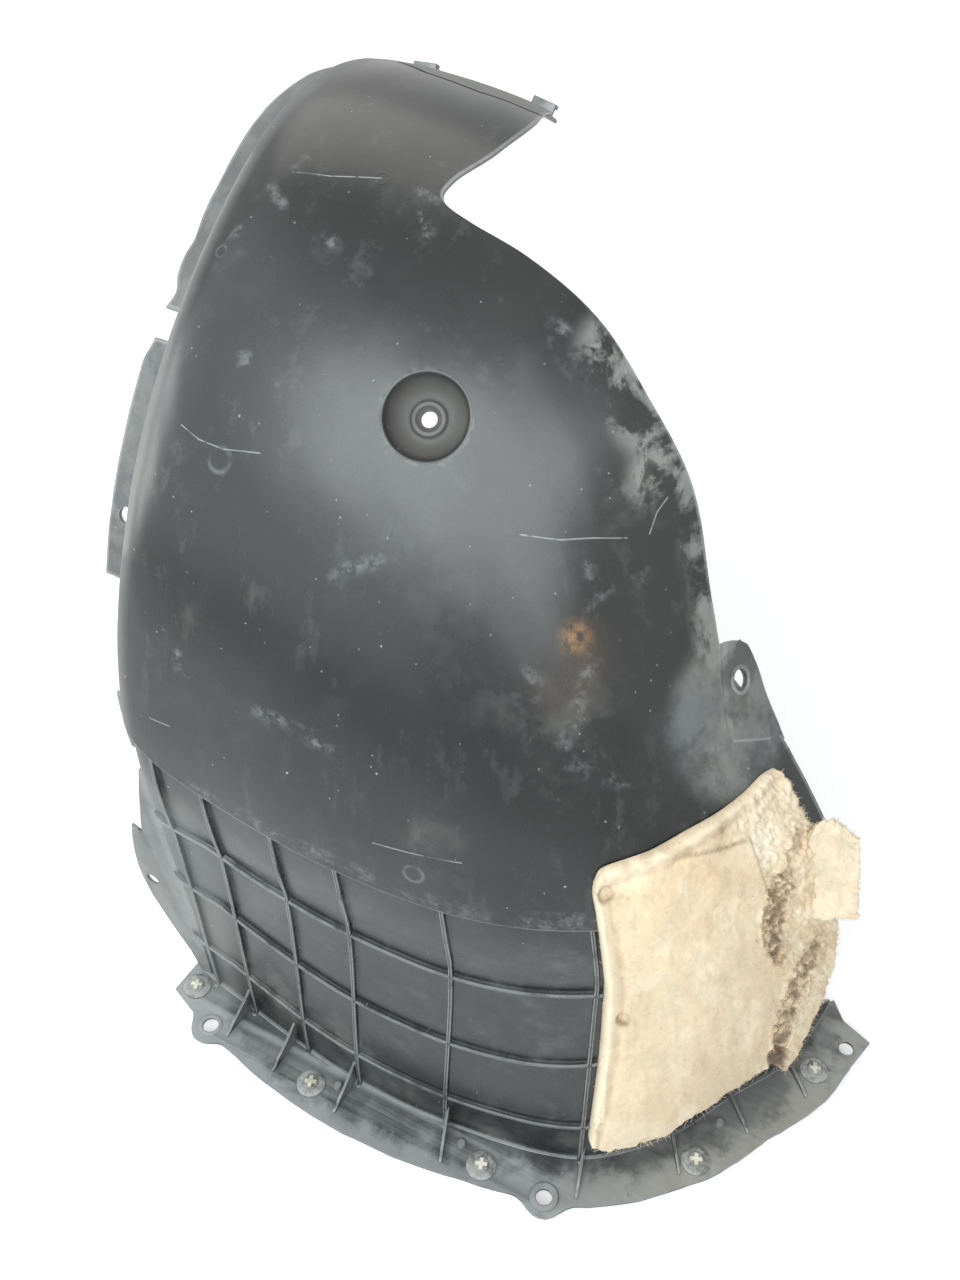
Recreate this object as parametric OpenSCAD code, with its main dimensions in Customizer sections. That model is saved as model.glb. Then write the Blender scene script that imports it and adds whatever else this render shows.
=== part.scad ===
// Front half of a front wheel arch liner, in the vehicle's own directions:
// X runs inboard from the fender lip, Y runs rearward, Z is up.
// The origin is the front lug's screw hole, on the underside of the bottom flange.

/* [Arch] */
// Radius of the fender lip that the outboard edge follows
lip_r = 322; // [312:1:332]
// Height of the lip circle's centre over the axis that the arch stations turn about
lip_rise = 50; // [45:1:55]
// Depth of the shoulder between the lip and the crest of the arch
shoulder = 33; // [28:1:36]
// How far the top end falls below the round of the arch, for the joint to the rear half
end_fall = 49; // [42:1:54]
// Angle of the top end, from the front of the arch
end_angle = 90.5; // [88:0.5:92]
// Height of the straight front wall, from the arch axis down to the underside
wall_h = 192; // [180:1:200]
// Reach of the bottom flange inboard of the fender lip
reach = 432; // [415:1:445]
// Wall thickness of the moulding
skin_t = 2.5; // [2.2:0.1:3]

/* [Ribbed wall] */
// How far the ribbed front wall lies behind the smooth panel above it
recess = 4; // [3:0.5:6]
// Thickness of the ribs and gussets
rib_t = 2; // [1.6:0.1:3]
// Height of the gussets on the wall
gusset_h = 24; // [18:1:30]

/* [Bottom flange] */
// Width of the bottom flange at its narrowest
flange_w = 30; // [28:1:34]
// Radius of the two screw lugs
lug_r = 14.5; // [13:0.5:16]
// Radius of the screw holes in the lugs
lug_hole_r = 5.5; // [4:0.25:6]
// Radius of the holes for the push clips
clip_hole_r = 4; // [3.5:0.25:4.5]

/* [Brims] */
// Width of the brim that lies under the fender lip
brim_w = 28; // [24:1:30]
// Radius of the brim's screw holes
brim_hole_r = 5; // [4:0.25:6]

/* [Round recess] */
// Radius of the round recess at its rim
dish_r = 22.5; // [21:0.5:25]
// Depth of the recess
dish_d = 9; // [7:0.5:11]
// Radius of the hole in the recess
dish_hole_r = 4.25; // [3.5:0.25:5]

/* [Felt pad] */
// Thickness of the felt pad
felt_t = 8; // [6:0.5:10]

/* [Push clips] */
// Radius of a push clip's head
clip_head_r = 10; // [9:0.5:11]
// Length of a push clip's legs below the top of the flange
clip_leg = 14; // [12:0.5:16]

/* [Hidden] */
kx = reach / 432;
base = -wall_h;
floor_z = base + skin_t;

// Sections across the liner: [distance inboard, fall below the crest].
// Each runs from the lip, over the shoulder and the panel, down the inboard side.
sec_base = [[0, 33], [1.5, 11], [12, 0], [58, -9], [150, -21], [240, -17],
            [318, 2], [366, 46], [393, 92], [420, 137], [432, 196]];
sec_axle = [[0, 33], [1.5, 11], [12, 0], [58, -4], [150, -8], [240, 0],
            [310, 24], [362, 60], [396, 107], [420, 152], [438, 199]];
sec_crown = [[0, 33], [1, 10], [12, 0], [48, -5], [122, 0], [192, 16],
             [248, 46], [290, 88], [316, 132], [338, 178], [352, 222]];
sec_end = [[-4, 9], [-3, 4], [4, 1], [40, 0], [102, 8], [160, 30],
           [204, 64], [238, 108], [262, 152], [278, 196], [290, 240]];

// Rows of the smooth panel above the ribbed wall:
// [station at the lip, station at the free edge, section position of the free edge]
edge_rows = [[11, 11, 8.93], [19, 19, 8.88], [26, 26.5, 8.71], [32, 32.5, 8.42],
             [38, 38, 7.8], [44, 44, 7.5], [50, 50, 7.13], [55, 55, 6.68],
             [59.5, 59, 6.05], [63.5, 62.5, 5.45], [66.5, 64.5, 4.8], [69, 65.4, 4.3],
             [71, 66.4, 4.05], [73, 68.4, 4.05], [77, 73.5, 4.24], [83, 81, 4.31],
             [end_angle, end_angle, 4.08]];

// Section position of the ribbed wall's free edge, from the flange up to the step line
wall_edge = [10, 9.5, 9.25, 9.12, 9.02, 8.93];

// Gussets along the flange: [section position, direction in plan, share of the full height]
gussets = [[3, -94, 1], [3.5, -92, 1], [4.05, -90, 1], [4.86, -72, 1], [6.02, -74, 0.5],
           [7, -57, 0.42], [7.95, -42, 0.42], [8.93, -43, 0.42]];
// Where the ribs, clips and studs stand
rib_u = [2.4, 3.08, 3.63, 4.1, 4.84, 6];
clip_u = [2.15, 3.8, 5.22, 7.1, 9.1];
clip_out = [11, 17, 18, 21, 15];
stud_u = [3.98, 5.02, 7.6];
// Radius of a push clip's centre pin
pin_r = 2.1;
// Middle heights of the three cross ribs, and how much each bows upward at its ends
cross_z = [-17, -89, -152];
cross_bow = [5, 6, 3.5];

function mix(a, b, k) = a + (b - a) * k;
function ease(x) = let (c = min(1, max(0, x))) c * c * (3 - 2 * c);
function unit(v) = v / norm(v);

// A smooth curve through a list, at position t
function spline(list, t) = let (
    n = len(list),
    i = min(n - 2, max(0, floor(t))),
    f = t - i,
    b = list[i],
    c = list[i + 1],
    a = i > 0 ? list[i - 1] : 2 * b - c,
    d = i < n - 2 ? list[i + 2] : 2 * c - b
) b + 0.5 * f * ((c - a) + f * ((2 * a - 5 * b + 4 * c - d) + f * (3 * (b - c) + d - a)));

// Distance of the fender lip from the arch axis, at an angle up from the front
function lip(a) = lip_rise * sin(a) + sqrt(pow(lip_r, 2) - pow(lip_rise * cos(a), 2));

// A station is an angle in degrees above the axis, and a height in mm below it
function crest(s) = s < 0
    ? lip(0) + shoulder + 5 * s / wall_h
    : lip(s) + shoulder - end_fall * pow(max(0, s - 63) / 27, 2);

function section(s, u) = s < 0
    ? mix(spline(sec_axle, u), spline(sec_base, u), ease(s / base))
    : mix(spline(sec_axle, u),
          mix(spline(sec_crown, u), spline(sec_end, u), ease((s - 60) / 30)), ease(s / 50));

function surface_point(s, u) = let (
    q = section(s, u),
    r = crest(s) - q[1],
    a = max(0, s)
) [q[0] * kx, -r * cos(a), min(0, s) + r * sin(a)];

function outward(s, u) = let (
    across = surface_point(s, u + 0.02) - surface_point(s, u - 0.02),
    up = surface_point(s + 0.2, u) - surface_point(s - 0.2, u)
) unit(cross(across, up));

// A point on the liner's surface, moved outward by d
function skin(s, u, d = 0) = surface_point(s, u) + d * outward(s, u);

// Station of the step line where the ribbed wall ends
function step_line(u) = 8.7 + 0.65 * pow(min(u, 6.2) - 4.7, 2);

// A closed solid between two equal grids of points: the first is the outer face
module sheet_solid(outer, inner) {
    rows = len(outer);
    cols = len(outer[0]);
    n = rows * cols;
    function at(r, c) = r * cols + c;
    faces = [
        for (r = [0:rows - 2]) for (c = [0:cols - 2]) each [
            [at(r, c), at(r + 1, c), at(r + 1, c + 1)],
            [at(r, c), at(r + 1, c + 1), at(r, c + 1)],
            [n + at(r, c), n + at(r + 1, c + 1), n + at(r + 1, c)],
            [n + at(r, c), n + at(r, c + 1), n + at(r + 1, c + 1)]],
        for (r = [0:rows - 2]) each [
            [at(r, 0), n + at(r, 0), n + at(r + 1, 0)],
            [at(r, 0), n + at(r + 1, 0), at(r + 1, 0)],
            [at(r, cols - 1), n + at(r + 1, cols - 1), n + at(r, cols - 1)],
            [at(r, cols - 1), at(r + 1, cols - 1), n + at(r + 1, cols - 1)]],
        for (c = [0:cols - 2]) each [
            [at(0, c), n + at(0, c + 1), n + at(0, c)],
            [at(0, c), at(0, c + 1), n + at(0, c + 1)],
            [at(rows - 1, c), n + at(rows - 1, c), n + at(rows - 1, c + 1)],
            [at(rows - 1, c), n + at(rows - 1, c + 1), at(rows - 1, c + 1)]]];
    polyhedron([for (row = outer) each row, for (row = inner) each row], faces);
}

// A bar of square section along a list of frames [foot, sideways, outward]
module bar(frames, width, height) {
    low = [for (f = frames) [f[0] - f[1] * width / 2, f[0] + f[1] * width / 2]];
    high = [for (f = frames) [f[0] - f[1] * width / 2 + f[2] * height,
                              f[0] + f[1] * width / 2 + f[2] * height]];
    sheet_solid(high, low);
}

// Puts the origin on the surface with Z outward and Y toward the top of the arch
module on_surface(s, u, d = 0) {
    z = outward(s, u);
    up = unit(surface_point(s + 0.2, u) - surface_point(s - 0.2, u));
    x = unit(cross(up, z));
    y = cross(z, x);
    p = skin(s, u, d);
    multmatrix([[x[0], y[0], z[0], p[0]], [x[1], y[1], z[1], p[1]], [x[2], y[2], z[2], p[2]], [0, 0, 0, 1]])
        children();
}

cols = 30;
wall_rows = 7;
panel_rows = 32;

// Grid of [station, section position] for the ribbed wall, then for the smooth panel
function wall_uv(r, c) = let (
    u = spline(wall_edge, r / wall_rows * (len(wall_edge) - 1)) * c / cols
) [mix(base, step_line(u), r / wall_rows), u];

function panel_uv(r, c) = let (
    t = r / panel_rows,
    e = spline(edge_rows, t * (len(edge_rows) - 1)),
    v = c / cols,
    u = e[2] * v,
    start = step_line(u) + 0.9 - mix(edge_rows[0][0], edge_rows[0][1], v * v)
) [mix(e[0], e[1], v * v) + start * pow(1 - t, 6), u];

module skin_sheet() {
    uv = [
        for (r = [0:wall_rows]) [for (c = [0:cols]) concat(wall_uv(r, c), recess)],
        for (r = [0:panel_rows]) [for (c = [0:cols]) concat(panel_uv(r, c), 0)]];
    sheet_solid(
        [for (row = uv) [for (p = row) skin(p[0], p[1], -p[2])]],
        [for (row = uv) [for (p = row) skin(p[0], p[1], -p[2] - skin_t)]]);
}

// A point in plan on the foot of the wall, moved outward by d
function foot(u, d = 0) = let (
    p = surface_point(base, u),
    q = surface_point(base, u + 0.02) - surface_point(base, u - 0.02),
    n = unit([q[1], -q[0]])
) [p[0], p[1]] + d * n;

// Extra width of the bottom flange at section positions 2.4, 3.4, 4.4 and so on
flange_extra = [-4, 4, 4, 0, 1, 5, 5, 3];
lug_at = [foot(2.79, 26), foot(5.73, 27)];
end_hole_at = foot(9.55, 24);
clip_at = [for (i = [0:4]) foot(clip_u[i], clip_out[i])];
origin_at = [lug_at[1][0], lug_at[1][1], base];

module on_flange(p) translate([p[0], p[1], floor_z]) children();

module bottom_flange() {
    rim = [for (i = [0:28]) let (u = mix(2.45, 9.4, i / 28))
        foot(u, flange_w + spline(flange_extra, u - 2.4))];
    heel = [for (i = [0:28]) foot(mix(9.9, 2, i / 28), -recess - skin_t + 0.6)];
    left = foot(2, 0);
    right = foot(10, 0);
    translate([0, 0, base]) linear_extrude(skin_t) polygon(concat(
        [left + [-10, 12], left + [-12, -21]], rim,
        [right + [33, -19], right + [11, -11], right + [0, 2]], heel));
    for (p = lug_at) translate([p[0], p[1], base]) cylinder(r = lug_r, h = skin_t, $fn = 48);
    translate([lug_at[1][0], lug_at[1][1], base]) cylinder(r = lug_hole_r + 4, h = skin_t + 2, $fn = 48);
    for (u = stud_u) on_flange(foot(u, 9)) translate([0, 0, -1]) cylinder(r = 2.8, h = 5.5, $fn = 32);
}

module gusset(u, turn, share) {
    p = foot(u);
    h = gusset_h * share;
    translate([p[0], p[1], base + 1]) rotate([0, 0, turn]) rotate([90, 0, 0])
        translate([0, 0, -rib_t / 2]) linear_extrude(rib_t) polygon([
            [-recess - 1.4, 0], [flange_w - 4, 0], [flange_w - 4, skin_t], [-recess, h],
            [-recess - 1.4, h]]);
}

module upright_rib(u) {
    steps = 7;
    top = step_line(u);
    bar([for (i = [0:steps]) let (s = mix(base + 4, top + 0.4, i / steps))
        [skin(s, u, -recess - 1.2),
         unit(surface_point(s, u + 0.02) - surface_point(s, u - 0.02)), outward(s, u)]],
        rib_t, recess + 0.7);
}

module cross_rib(i) {
    steps = 20;
    bar([for (k = [0:steps]) let (
        u = mix(1.7, 6.02, k / steps),
        s = cross_z[i] + cross_bow[i] * pow(u - 4.9, 2) * min(1, 4 / (0.01 + pow(u - 4.9, 2))))
        [skin(s, u, -recess - 1.2),
         -unit(surface_point(s + 0.2, u) - surface_point(s - 0.2, u)), outward(s, u)]],
        rib_t, recess + 0.5);
}

// A band that follows the lip circle, from angle t0 to t1 about the circle's centre
module lip_band(t0, t1, x0, x1) {
    translate([0, 0, lip_rise]) rotate([0, 90, 0]) rotate([0, 0, -90 - t1])
        rotate_extrude(angle = t1 - t0, $fn = 180)
            translate([lip_r - skin_t + 1, x0]) square([skin_t, x1 - x0]);
}

module lip_hole(t, x) {
    translate([x, 0, lip_rise]) rotate([90 - t, 0, 0])
        translate([0, 0, lip_r - 12]) cylinder(r = brim_hole_r, h = 24, $fn = 40);
}

// The top brim narrows to nothing where it runs out into the crest
module top_brim() {
    rows = 16;
    function wide(k) = 0.8 * brim_w * sqrt(max(0.01, 1 - pow(max(0, k - 0.45) / 0.56, 2)));
    frames = [for (i = [0:rows]) let (k = i / rows, s = mix(53.5, 86, k))
        [surface_point(s, 0.05), [0, -cos(s), sin(s)], wide(k)]];
    sheet_solid(
        [for (f = frames) [for (j = [0:3]) f[0] + f[1] * 2 + [mix(-f[2], 1.5, j / 3), 0, 0]]],
        [for (f = frames) [for (j = [0:3]) f[0] - f[1] * 0.5 + [mix(-f[2], 1.5, j / 3), 0, 0]]]);
}

// The fin that carries the ribbed wall on outboard of the lip
module low_fin() {
    y = surface_point(-80, 2)[1] + recess;
    translate([0, y + skin_t, 0]) rotate([90, 0, 0]) linear_extrude(skin_t) polygon([
        [15, 46], [1, 40], [-13, -34], [-21, -30], [-26, -64], [-25.5, -92], [-13, -133],
        [2, -168], [8, base + 1], [17, base + 1]]);
}

module end_strip() {
    rows = 2;
    across = 14;
    last = edge_rows[len(edge_rows) - 1][2];
    pts = [for (r = [0:rows]) [for (c = [0:across])
        [mix(end_angle - 1.2, end_angle + 2, r / rows), mix(1, last - 0.02, c / across)]]];
    sheet_solid([for (row = pts) [for (p = row) skin(p[0], p[1], -skin_t + 0.8)]],
                [for (row = pts) [for (p = row) skin(p[0], p[1], -skin_t * 2 + 0.8)]]);
    for (u = [2.42, 3.93]) on_surface(end_angle + 1.1, u, -skin_t + 0.3) translate([-8, -3, -1]) {
        cube([16, 2.6, 8]);
        cube([16, 6, 2.6]);
    }
}

// Outline of the screw tab above the hole: [height, left edge, right edge]
tab_rows = [[-34, -20, 33], [-20, -20, 27.5], [-4, -20, 21.5], [6, -20, 18.2],
            [13.8, -18, 13.7], [18, -13, 10.5], [20.7, -5, 7.6], [21.7, 0, 4]];
tab_s = 37;
tab_u = 7.97;
tab_hole_r = 6;

module screw_tab() {
    up_scale = norm(surface_point(tab_s + 1, tab_u) - surface_point(tab_s, tab_u));
    across_scale = norm(surface_point(tab_s, tab_u + 0.1) - surface_point(tab_s, tab_u - 0.1)) / 0.2;
    pts = [for (row = tab_rows) [for (c = [0:5])
        [tab_s + row[0] / up_scale, tab_u + mix(row[1], row[2], c / 5) / across_scale]]];
    sheet_solid([for (row = pts) [for (p = row) skin(p[0], p[1], 0.7)]],
                [for (row = pts) [for (p = row) skin(p[0], p[1], 0.7 - skin_t)]]);
    on_surface(tab_s, tab_u, -0.5) cylinder(r = tab_hole_r + 2.6, h = 2, $fn = 40);
}

dish_s = 50.5;
dish_u = 4.52;

module dish() {
    floor_r = dish_hole_r + 8;
    ring_r = dish_hole_r + 4.5;
    on_surface(dish_s, dish_u, -0.7) rotate_extrude($fn = 48) polygon([
        [dish_r, 0], [floor_r, -dish_d], [ring_r + 1, -dish_d], [ring_r, -dish_d + 1.6],
        [ring_r - 2, -dish_d + 1.6], [ring_r - 2.5, -dish_d + 0.4], [0, -dish_d + 0.4],
        [0, -dish_d - skin_t], [floor_r + 1, -dish_d - skin_t], [dish_r + 1.8, -2.2],
        [dish_r + 1.8, -0.9], [dish_r + 0.8, 0]]);
}

// The whole moulding as one smooth mesh, before its round holes are drilled
module moulding() {
    resize([0, 0, 0]) union() {
        difference() {
            skin_sheet();
            on_surface(dish_s, dish_u, -10) cylinder(r = dish_r + 0.4, h = 20, $fn = 48);
        }
        dish();
        bottom_flange();
        for (g = gussets) gusset(g[0], g[1], g[2]);
        for (u = rib_u) upright_rib(u);
        for (i = [0:2]) cross_rib(i);
        lip_band(20, 45, -brim_w, 2);
        lip_band(-4.5, 4.5, -brim_w + 2, recess + 1.5);
        top_brim();
        low_fin();
        end_strip();
        screw_tab();
    }
}

module liner_shell() color([0.23, 0.24, 0.24]) translate(-origin_at) difference() {
    moulding();
    for (p = lug_at) translate([p[0], p[1], base - 1]) cylinder(r = lug_hole_r, h = skin_t + 6, $fn = 40);
    translate([end_hole_at[0], end_hole_at[1], base - 1]) cylinder(r = 5, h = skin_t + 2, $fn = 40);
    for (p = clip_at) translate([p[0], p[1], base - 1]) cylinder(r = clip_hole_r, h = skin_t + 2, $fn = 40);
    lip_hole(27, -brim_w + 11);
    lip_hole(0, -brim_w + 12);
    translate([-16, surface_point(-80, 2)[1] - 10, -90]) rotate([-90, 0, 0])
        cylinder(r = brim_hole_r, h = 24, $fn = 40);
    on_surface(tab_s, tab_u, -10) cylinder(r = tab_hole_r, h = 20, $fn = 40);
    on_surface(dish_s, dish_u, -dish_d - 8) cylinder(r = dish_hole_r, h = 12, $fn = 40);
}

// The pad's grid of [station, section position], and whether it lies above the step line
pad_right = [8.95, 9.12, 9.18, 9.1, 9.0, 8.9, 8.78, 8.6, 8.4];
pad_rows = 14;
pad_step_row = 9;
pad_cols = 16;

function pad_uv(r, c) = let (
    v = c / pad_cols,
    low = base + 19 - 6 * pow(v, 0.5),
    high = 13.4 + 11.5 * pow(v, 0.6),
    u = mix(6.07, spline(pad_right, r / pad_rows * (len(pad_right) - 1)), v)
) [r <= pad_step_row ? mix(low, step_line(6.2) - 0.8, r / pad_step_row)
        : mix(step_line(6.2) + 0.5, high, (r - pad_step_row - 1) / (pad_rows - pad_step_row - 1)),
   u, r <= pad_step_row ? 0.4 - recess : 0.4];

module felt_pad() color([0.87, 0.80, 0.68]) translate(-origin_at) {
    grid = [for (r = [0:pad_rows]) [for (c = [0:pad_cols]) pad_uv(r, c)]];
    sheet_solid([for (row = grid) [for (p = row) skin(p[0], p[1], felt_t - recess)]],
                [for (row = grid) [for (p = row) skin(p[0], p[1], p[2])]]);
    flap();
}

// The torn patch of the pad's top layer, folded out past the liner's edge
module flap() {
    out = unit([0.88, 0.47, 0]);
    thick = unit([0.47, -0.88, 0.3]);
    corners = [[skin(-2, 8.32, 2.4), 31], [skin(11, 8.32, 2.2), 33], [skin(21, 8.3, 1.6), 29]];
    sheet_solid([for (k = corners) [for (j = [0:3]) k[0] + thick * 2.5 + out * k[1] * j / 3]],
                [for (k = corners) [for (j = [0:3]) k[0] - thick * 0.5 + out * k[1] * j / 3]]);
}

module clip_bodies() color([0.30, 0.30, 0.29]) translate(-origin_at)
    for (p = clip_at) on_flange(p) difference() {
        union() {
            rotate_extrude($fn = 48) polygon([[0, 0], [clip_head_r, 0], [clip_head_r, 0.9],
                [clip_head_r - 2, 2], [5.6, 2.2], [5, 3], [0, 3]]);
            translate([0, 0, -clip_leg]) cylinder(r = clip_hole_r - 0.1, h = clip_leg + 0.5, $fn = 40);
        }
        translate([0, 0, -clip_leg - 1]) cylinder(r = pin_r + 0.1, h = clip_leg + 6, $fn = 32);
        for (a = [0, 90]) rotate([0, 0, a]) translate([-6, -0.6, -clip_leg - 1])
            cube([12, 1.2, clip_leg - 2.5]);
    }

module clip_pins() color([0.80, 0.78, 0.70]) translate(-origin_at)
    for (p = clip_at) on_flange(p) {
        translate([0, 0, 2 - clip_leg]) cylinder(r = pin_r, h = clip_leg + 1.4, $fn = 32);
        translate([0, 0, 3.05]) for (a = [0, 90]) rotate([0, 0, a + 20])
            translate([-4, -1.3, 0]) cube([8, 2.6, 1.3]);
    }

liner_shell();
felt_pad();
clip_bodies();
clip_pins();
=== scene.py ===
"""Looks of the wheel arch liner: a smooth moulded shell, a torn felt pad and push clips.

The surface functions repeat those of the part's source, in mm and in the arch's own axes.
"""
import bpy
import bmesh
import math
import numpy as np
from mathutils import Matrix, Vector


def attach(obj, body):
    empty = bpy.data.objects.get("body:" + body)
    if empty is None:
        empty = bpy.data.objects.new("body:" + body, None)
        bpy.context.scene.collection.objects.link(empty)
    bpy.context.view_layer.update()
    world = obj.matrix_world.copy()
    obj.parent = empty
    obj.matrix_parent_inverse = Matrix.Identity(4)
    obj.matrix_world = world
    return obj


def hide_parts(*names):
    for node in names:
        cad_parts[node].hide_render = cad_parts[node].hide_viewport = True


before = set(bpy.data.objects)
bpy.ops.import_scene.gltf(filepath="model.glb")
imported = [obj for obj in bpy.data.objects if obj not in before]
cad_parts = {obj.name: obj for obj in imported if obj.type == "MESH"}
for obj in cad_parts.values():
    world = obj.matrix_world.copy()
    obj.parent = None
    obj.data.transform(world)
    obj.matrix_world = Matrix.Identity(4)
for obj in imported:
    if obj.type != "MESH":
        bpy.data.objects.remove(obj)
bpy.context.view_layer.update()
rng = np.random.default_rng(7)

# Surface. A place on it is a station s, degrees up the arch or mm below the axle where negative,
# and a position u across the section, 0 at the fender lip.
LIP_R, RISE, SHOULDER, FALL, END = 322.0, 50.0, 33.0, 49.0, 90.5
BASE, SKIN, RECESS, RIB, BRIM = -192.0, 2.5, 4.0, 2.0, 28.0
DEG = 6.7                                            # mm up the wall for a degree, nearly
ORIGIN = np.array([307.479, -377.191, BASE])         # the frame's origin in the arch's axes
SEC = {
    "base": [[0, 33], [1.5, 11], [12, 0], [58, -9], [150, -21], [240, -17],
             [318, 2], [366, 46], [393, 92], [420, 137], [432, 196]],
    "axle": [[0, 33], [1.5, 11], [12, 0], [58, -4], [150, -8], [240, 0],
             [310, 24], [362, 60], [396, 107], [420, 152], [438, 199]],
    "crown": [[0, 33], [1, 10], [12, 0], [48, -5], [122, 0], [192, 16],
              [248, 46], [290, 88], [316, 132], [338, 178], [352, 222]],
    "end": [[-4, 9], [-3, 4], [4, 1], [40, 0], [102, 8], [160, 30],
            [204, 64], [238, 108], [262, 152], [278, 196], [290, 240]]}
SEC = {k: np.array(v, float) for k, v in SEC.items()}
EDGE_ROWS = np.array([
    [11, 11, 8.93], [19, 19, 8.88], [26, 26.5, 8.71], [32, 32.5, 8.42], [38, 38, 7.8],
    [44, 44, 7.5], [50, 50, 7.13], [55, 55, 6.68], [59.5, 59, 6.05], [63.5, 62.5, 5.45],
    [66.5, 64.5, 4.8], [69, 65.4, 4.3], [71, 66.4, 4.05], [73, 68.4, 4.05],
    [77, 73.5, 4.24], [83, 81, 4.31], [END, END, 4.08]])
WALL_EDGE = np.array([[10], [9.5], [9.25], [9.12], [9.02], [8.93]])
RIB_U = [2.4, 3.08, 3.63, 4.1, 4.84, 6.0]
CROSS = [(-17, 5), (-89, 6), (-152, 3.5)]
GUSSETS = [(3, -94, 24), (3.5, -92, 24), (4.05, -90, 24), (4.86, -72, 24), (6.02, -74, 12),
           (7, -57, 10), (7.95, -42, 10), (8.93, -43, 10)]
# places on the flange: position along the foot, mm out from it
CLIPS = [(2.15, 11), (3.8, 17), (5.22, 18), (7.1, 21), (9.1, 15)]
FRONT_LUG, SIDE_LUG, REAR_HOLE = (5.73, 27), (2.79, 26), (9.55, 24)
LUG_R, LUG_HOLE, REAR_HOLE_R, CLIP_HOLE = 14.5, 5.5, 5.0, 4.0
STUDS, STUD_OUT = (3.98, 5.02, 7.6), 9
DISH_S, DISH_U, DISH_R, DISH_D, DISH_HOLE = 50.5, 4.52, 22.5, 9.0, 4.25
TAB_S, TAB_U, TAB_HOLE = 37.0, 7.97, 6.0
# brims along the fender lip, in degrees: the middle and low one each have a hole, mm in from the rim
LOW_BRIM, MID_BRIM, TOP_BRIM = (-4.5, 4.5), (20, 45), (53.5, 86)
LIP_HOLES, LIP_HOLE = ((27, 11), (0, 12)), 5.0
FIN_HOLE, FIN_HOLE_R = (-16, -90), 5.0
HOOKS, HOOK_WIDE = (2.42, 3.93), 16
WALL_END = 6.3                                       # where the ribbed wall turns to the flat side


def arr(*v):
    """Numbers or arrays, as arrays of one shape."""
    return np.broadcast_arrays(*[np.asarray(x, float) for x in v])


def ease(x):
    x = np.clip(x, 0, 1)
    return x * x * (3 - 2 * x)


def spline(tab, t):
    """A smooth curve through a list, at position t."""
    tab, t = np.asarray(tab, float), np.asarray(t, float)
    n = len(tab)
    i = np.clip(np.floor(t).astype(int), 0, n - 2)
    f = (t - i)[..., None]
    b, c = tab[i], tab[i + 1]
    a = np.where((i > 0)[..., None], tab[np.maximum(i - 1, 0)], 2 * b - c)
    d = np.where((i < n - 2)[..., None], tab[np.minimum(i + 2, n - 1)], 2 * c - b)
    return b + 0.5 * f * ((c - a) + f * ((2 * a - 5 * b + 4 * c - d) + f * (3 * (b - c) + d - a)))


def lip(a):
    """Distance from the axle to the fender lip's circle."""
    return RISE * np.sin(a) + np.sqrt(LIP_R ** 2 - (RISE * np.cos(a)) ** 2)


def surface(s, u):
    """The moulding's outer face, blended from the four sections."""
    s, u = arr(s, u)
    a = np.radians(np.maximum(s, 0))
    crest = np.where(s < 0, lip(0.0) + SHOULDER + 5 * s / -BASE,
                     lip(a) + SHOULDER - FALL * (np.maximum(0, s - 63) / 27) ** 2)
    axle, base, crown, end = (spline(SEC[k], u) for k in ("axle", "base", "crown", "end"))
    low = axle + (base - axle) * ease(s / BASE)[..., None]
    top = crown + (end - crown) * ease((s - 60) / 30)[..., None]
    high = axle + (top - axle) * ease(s / 50)[..., None]
    q = np.where((s < 0)[..., None], low, high)
    r = crest - q[..., 1]
    return np.stack([q[..., 0], -r * np.cos(a), np.minimum(0, s) + r * np.sin(a)], -1)


def unit(v):
    return v / np.linalg.norm(v, axis=-1, keepdims=True)


def axes_at(s, u):
    """Directions across and up the surface, and its normal."""
    across = surface(s, np.add(u, 0.02)) - surface(s, np.subtract(u, 0.02))
    up = surface(np.add(s, 0.2), u) - surface(np.subtract(s, 0.2), u)
    return across, up, unit(np.cross(across, up))


def skin(s, u, d=0.0):
    """A point d out of the surface."""
    s, u, d = arr(s, u, d)
    return surface(s, u) + d[..., None] * axes_at(s, u)[2]


def local_frame(s, u, d=0.0):
    """Corner point, and the directions across, up and out of the surface."""
    _, up, z = axes_at(s, u)
    up = unit(up)
    x = unit(np.cross(up, z))
    return skin(s, u, d), x, np.cross(z, x), z


def step_line(u):
    """Station of the step between the panel and the ribbed wall."""
    return 8.7 + 0.65 * (np.minimum(u, 6.2) - 4.7) ** 2


def foot(u, d=0.0):
    """A point in plan, d out from the wall's foot."""
    u, d = arr(u, d)
    p = surface(BASE, u)[..., :2]
    q = surface(BASE, u + 0.02)[..., :2] - surface(BASE, u - 0.02)[..., :2]
    return p + d[..., None] * unit(np.stack([q[..., 1], -q[..., 0]], -1))


def peak(x, middle, wide):
    """1 at the middle, and away to nothing beyond about twice the width."""
    return np.exp(-((x - middle) / wide) ** 2)


def ripple(x, y, seed=0.0):
    """A slow unevenness, about -1 to 1."""
    return (np.sin(x * 1.0 + y * 0.7 + seed) + np.sin(x * 2.3 - y * 1.9 + 2.1 * seed)
            + 0.6 * np.sin(-x * 4.1 + y * 3.3 + 0.7 * seed) + 0.4 * np.sin(x * 7.7 + y * 8.9 + seed)) / 3


# Meshes. A place is an origin with three axes.
X, Y, Z = np.eye(3)
SHARP, SOFT = 38, 180                                # degrees from which an edge is drawn sharp
CUT_DEEP = 12                                        # how far a hole is drilled to each side of the skin


def add_object(name, data):
    ob = bpy.data.objects.new(name, data)
    bpy.context.scene.collection.objects.link(ob)
    return ob


def to_mesh(bm, name):
    me = bpy.data.meshes.new(name)
    bm.to_mesh(me)
    bm.free()
    return me


def evaluated_mesh(ob):
    bpy.context.view_layer.update()
    return bpy.data.meshes.new_from_object(ob.evaluated_get(bpy.context.evaluated_depsgraph_get()))


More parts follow.
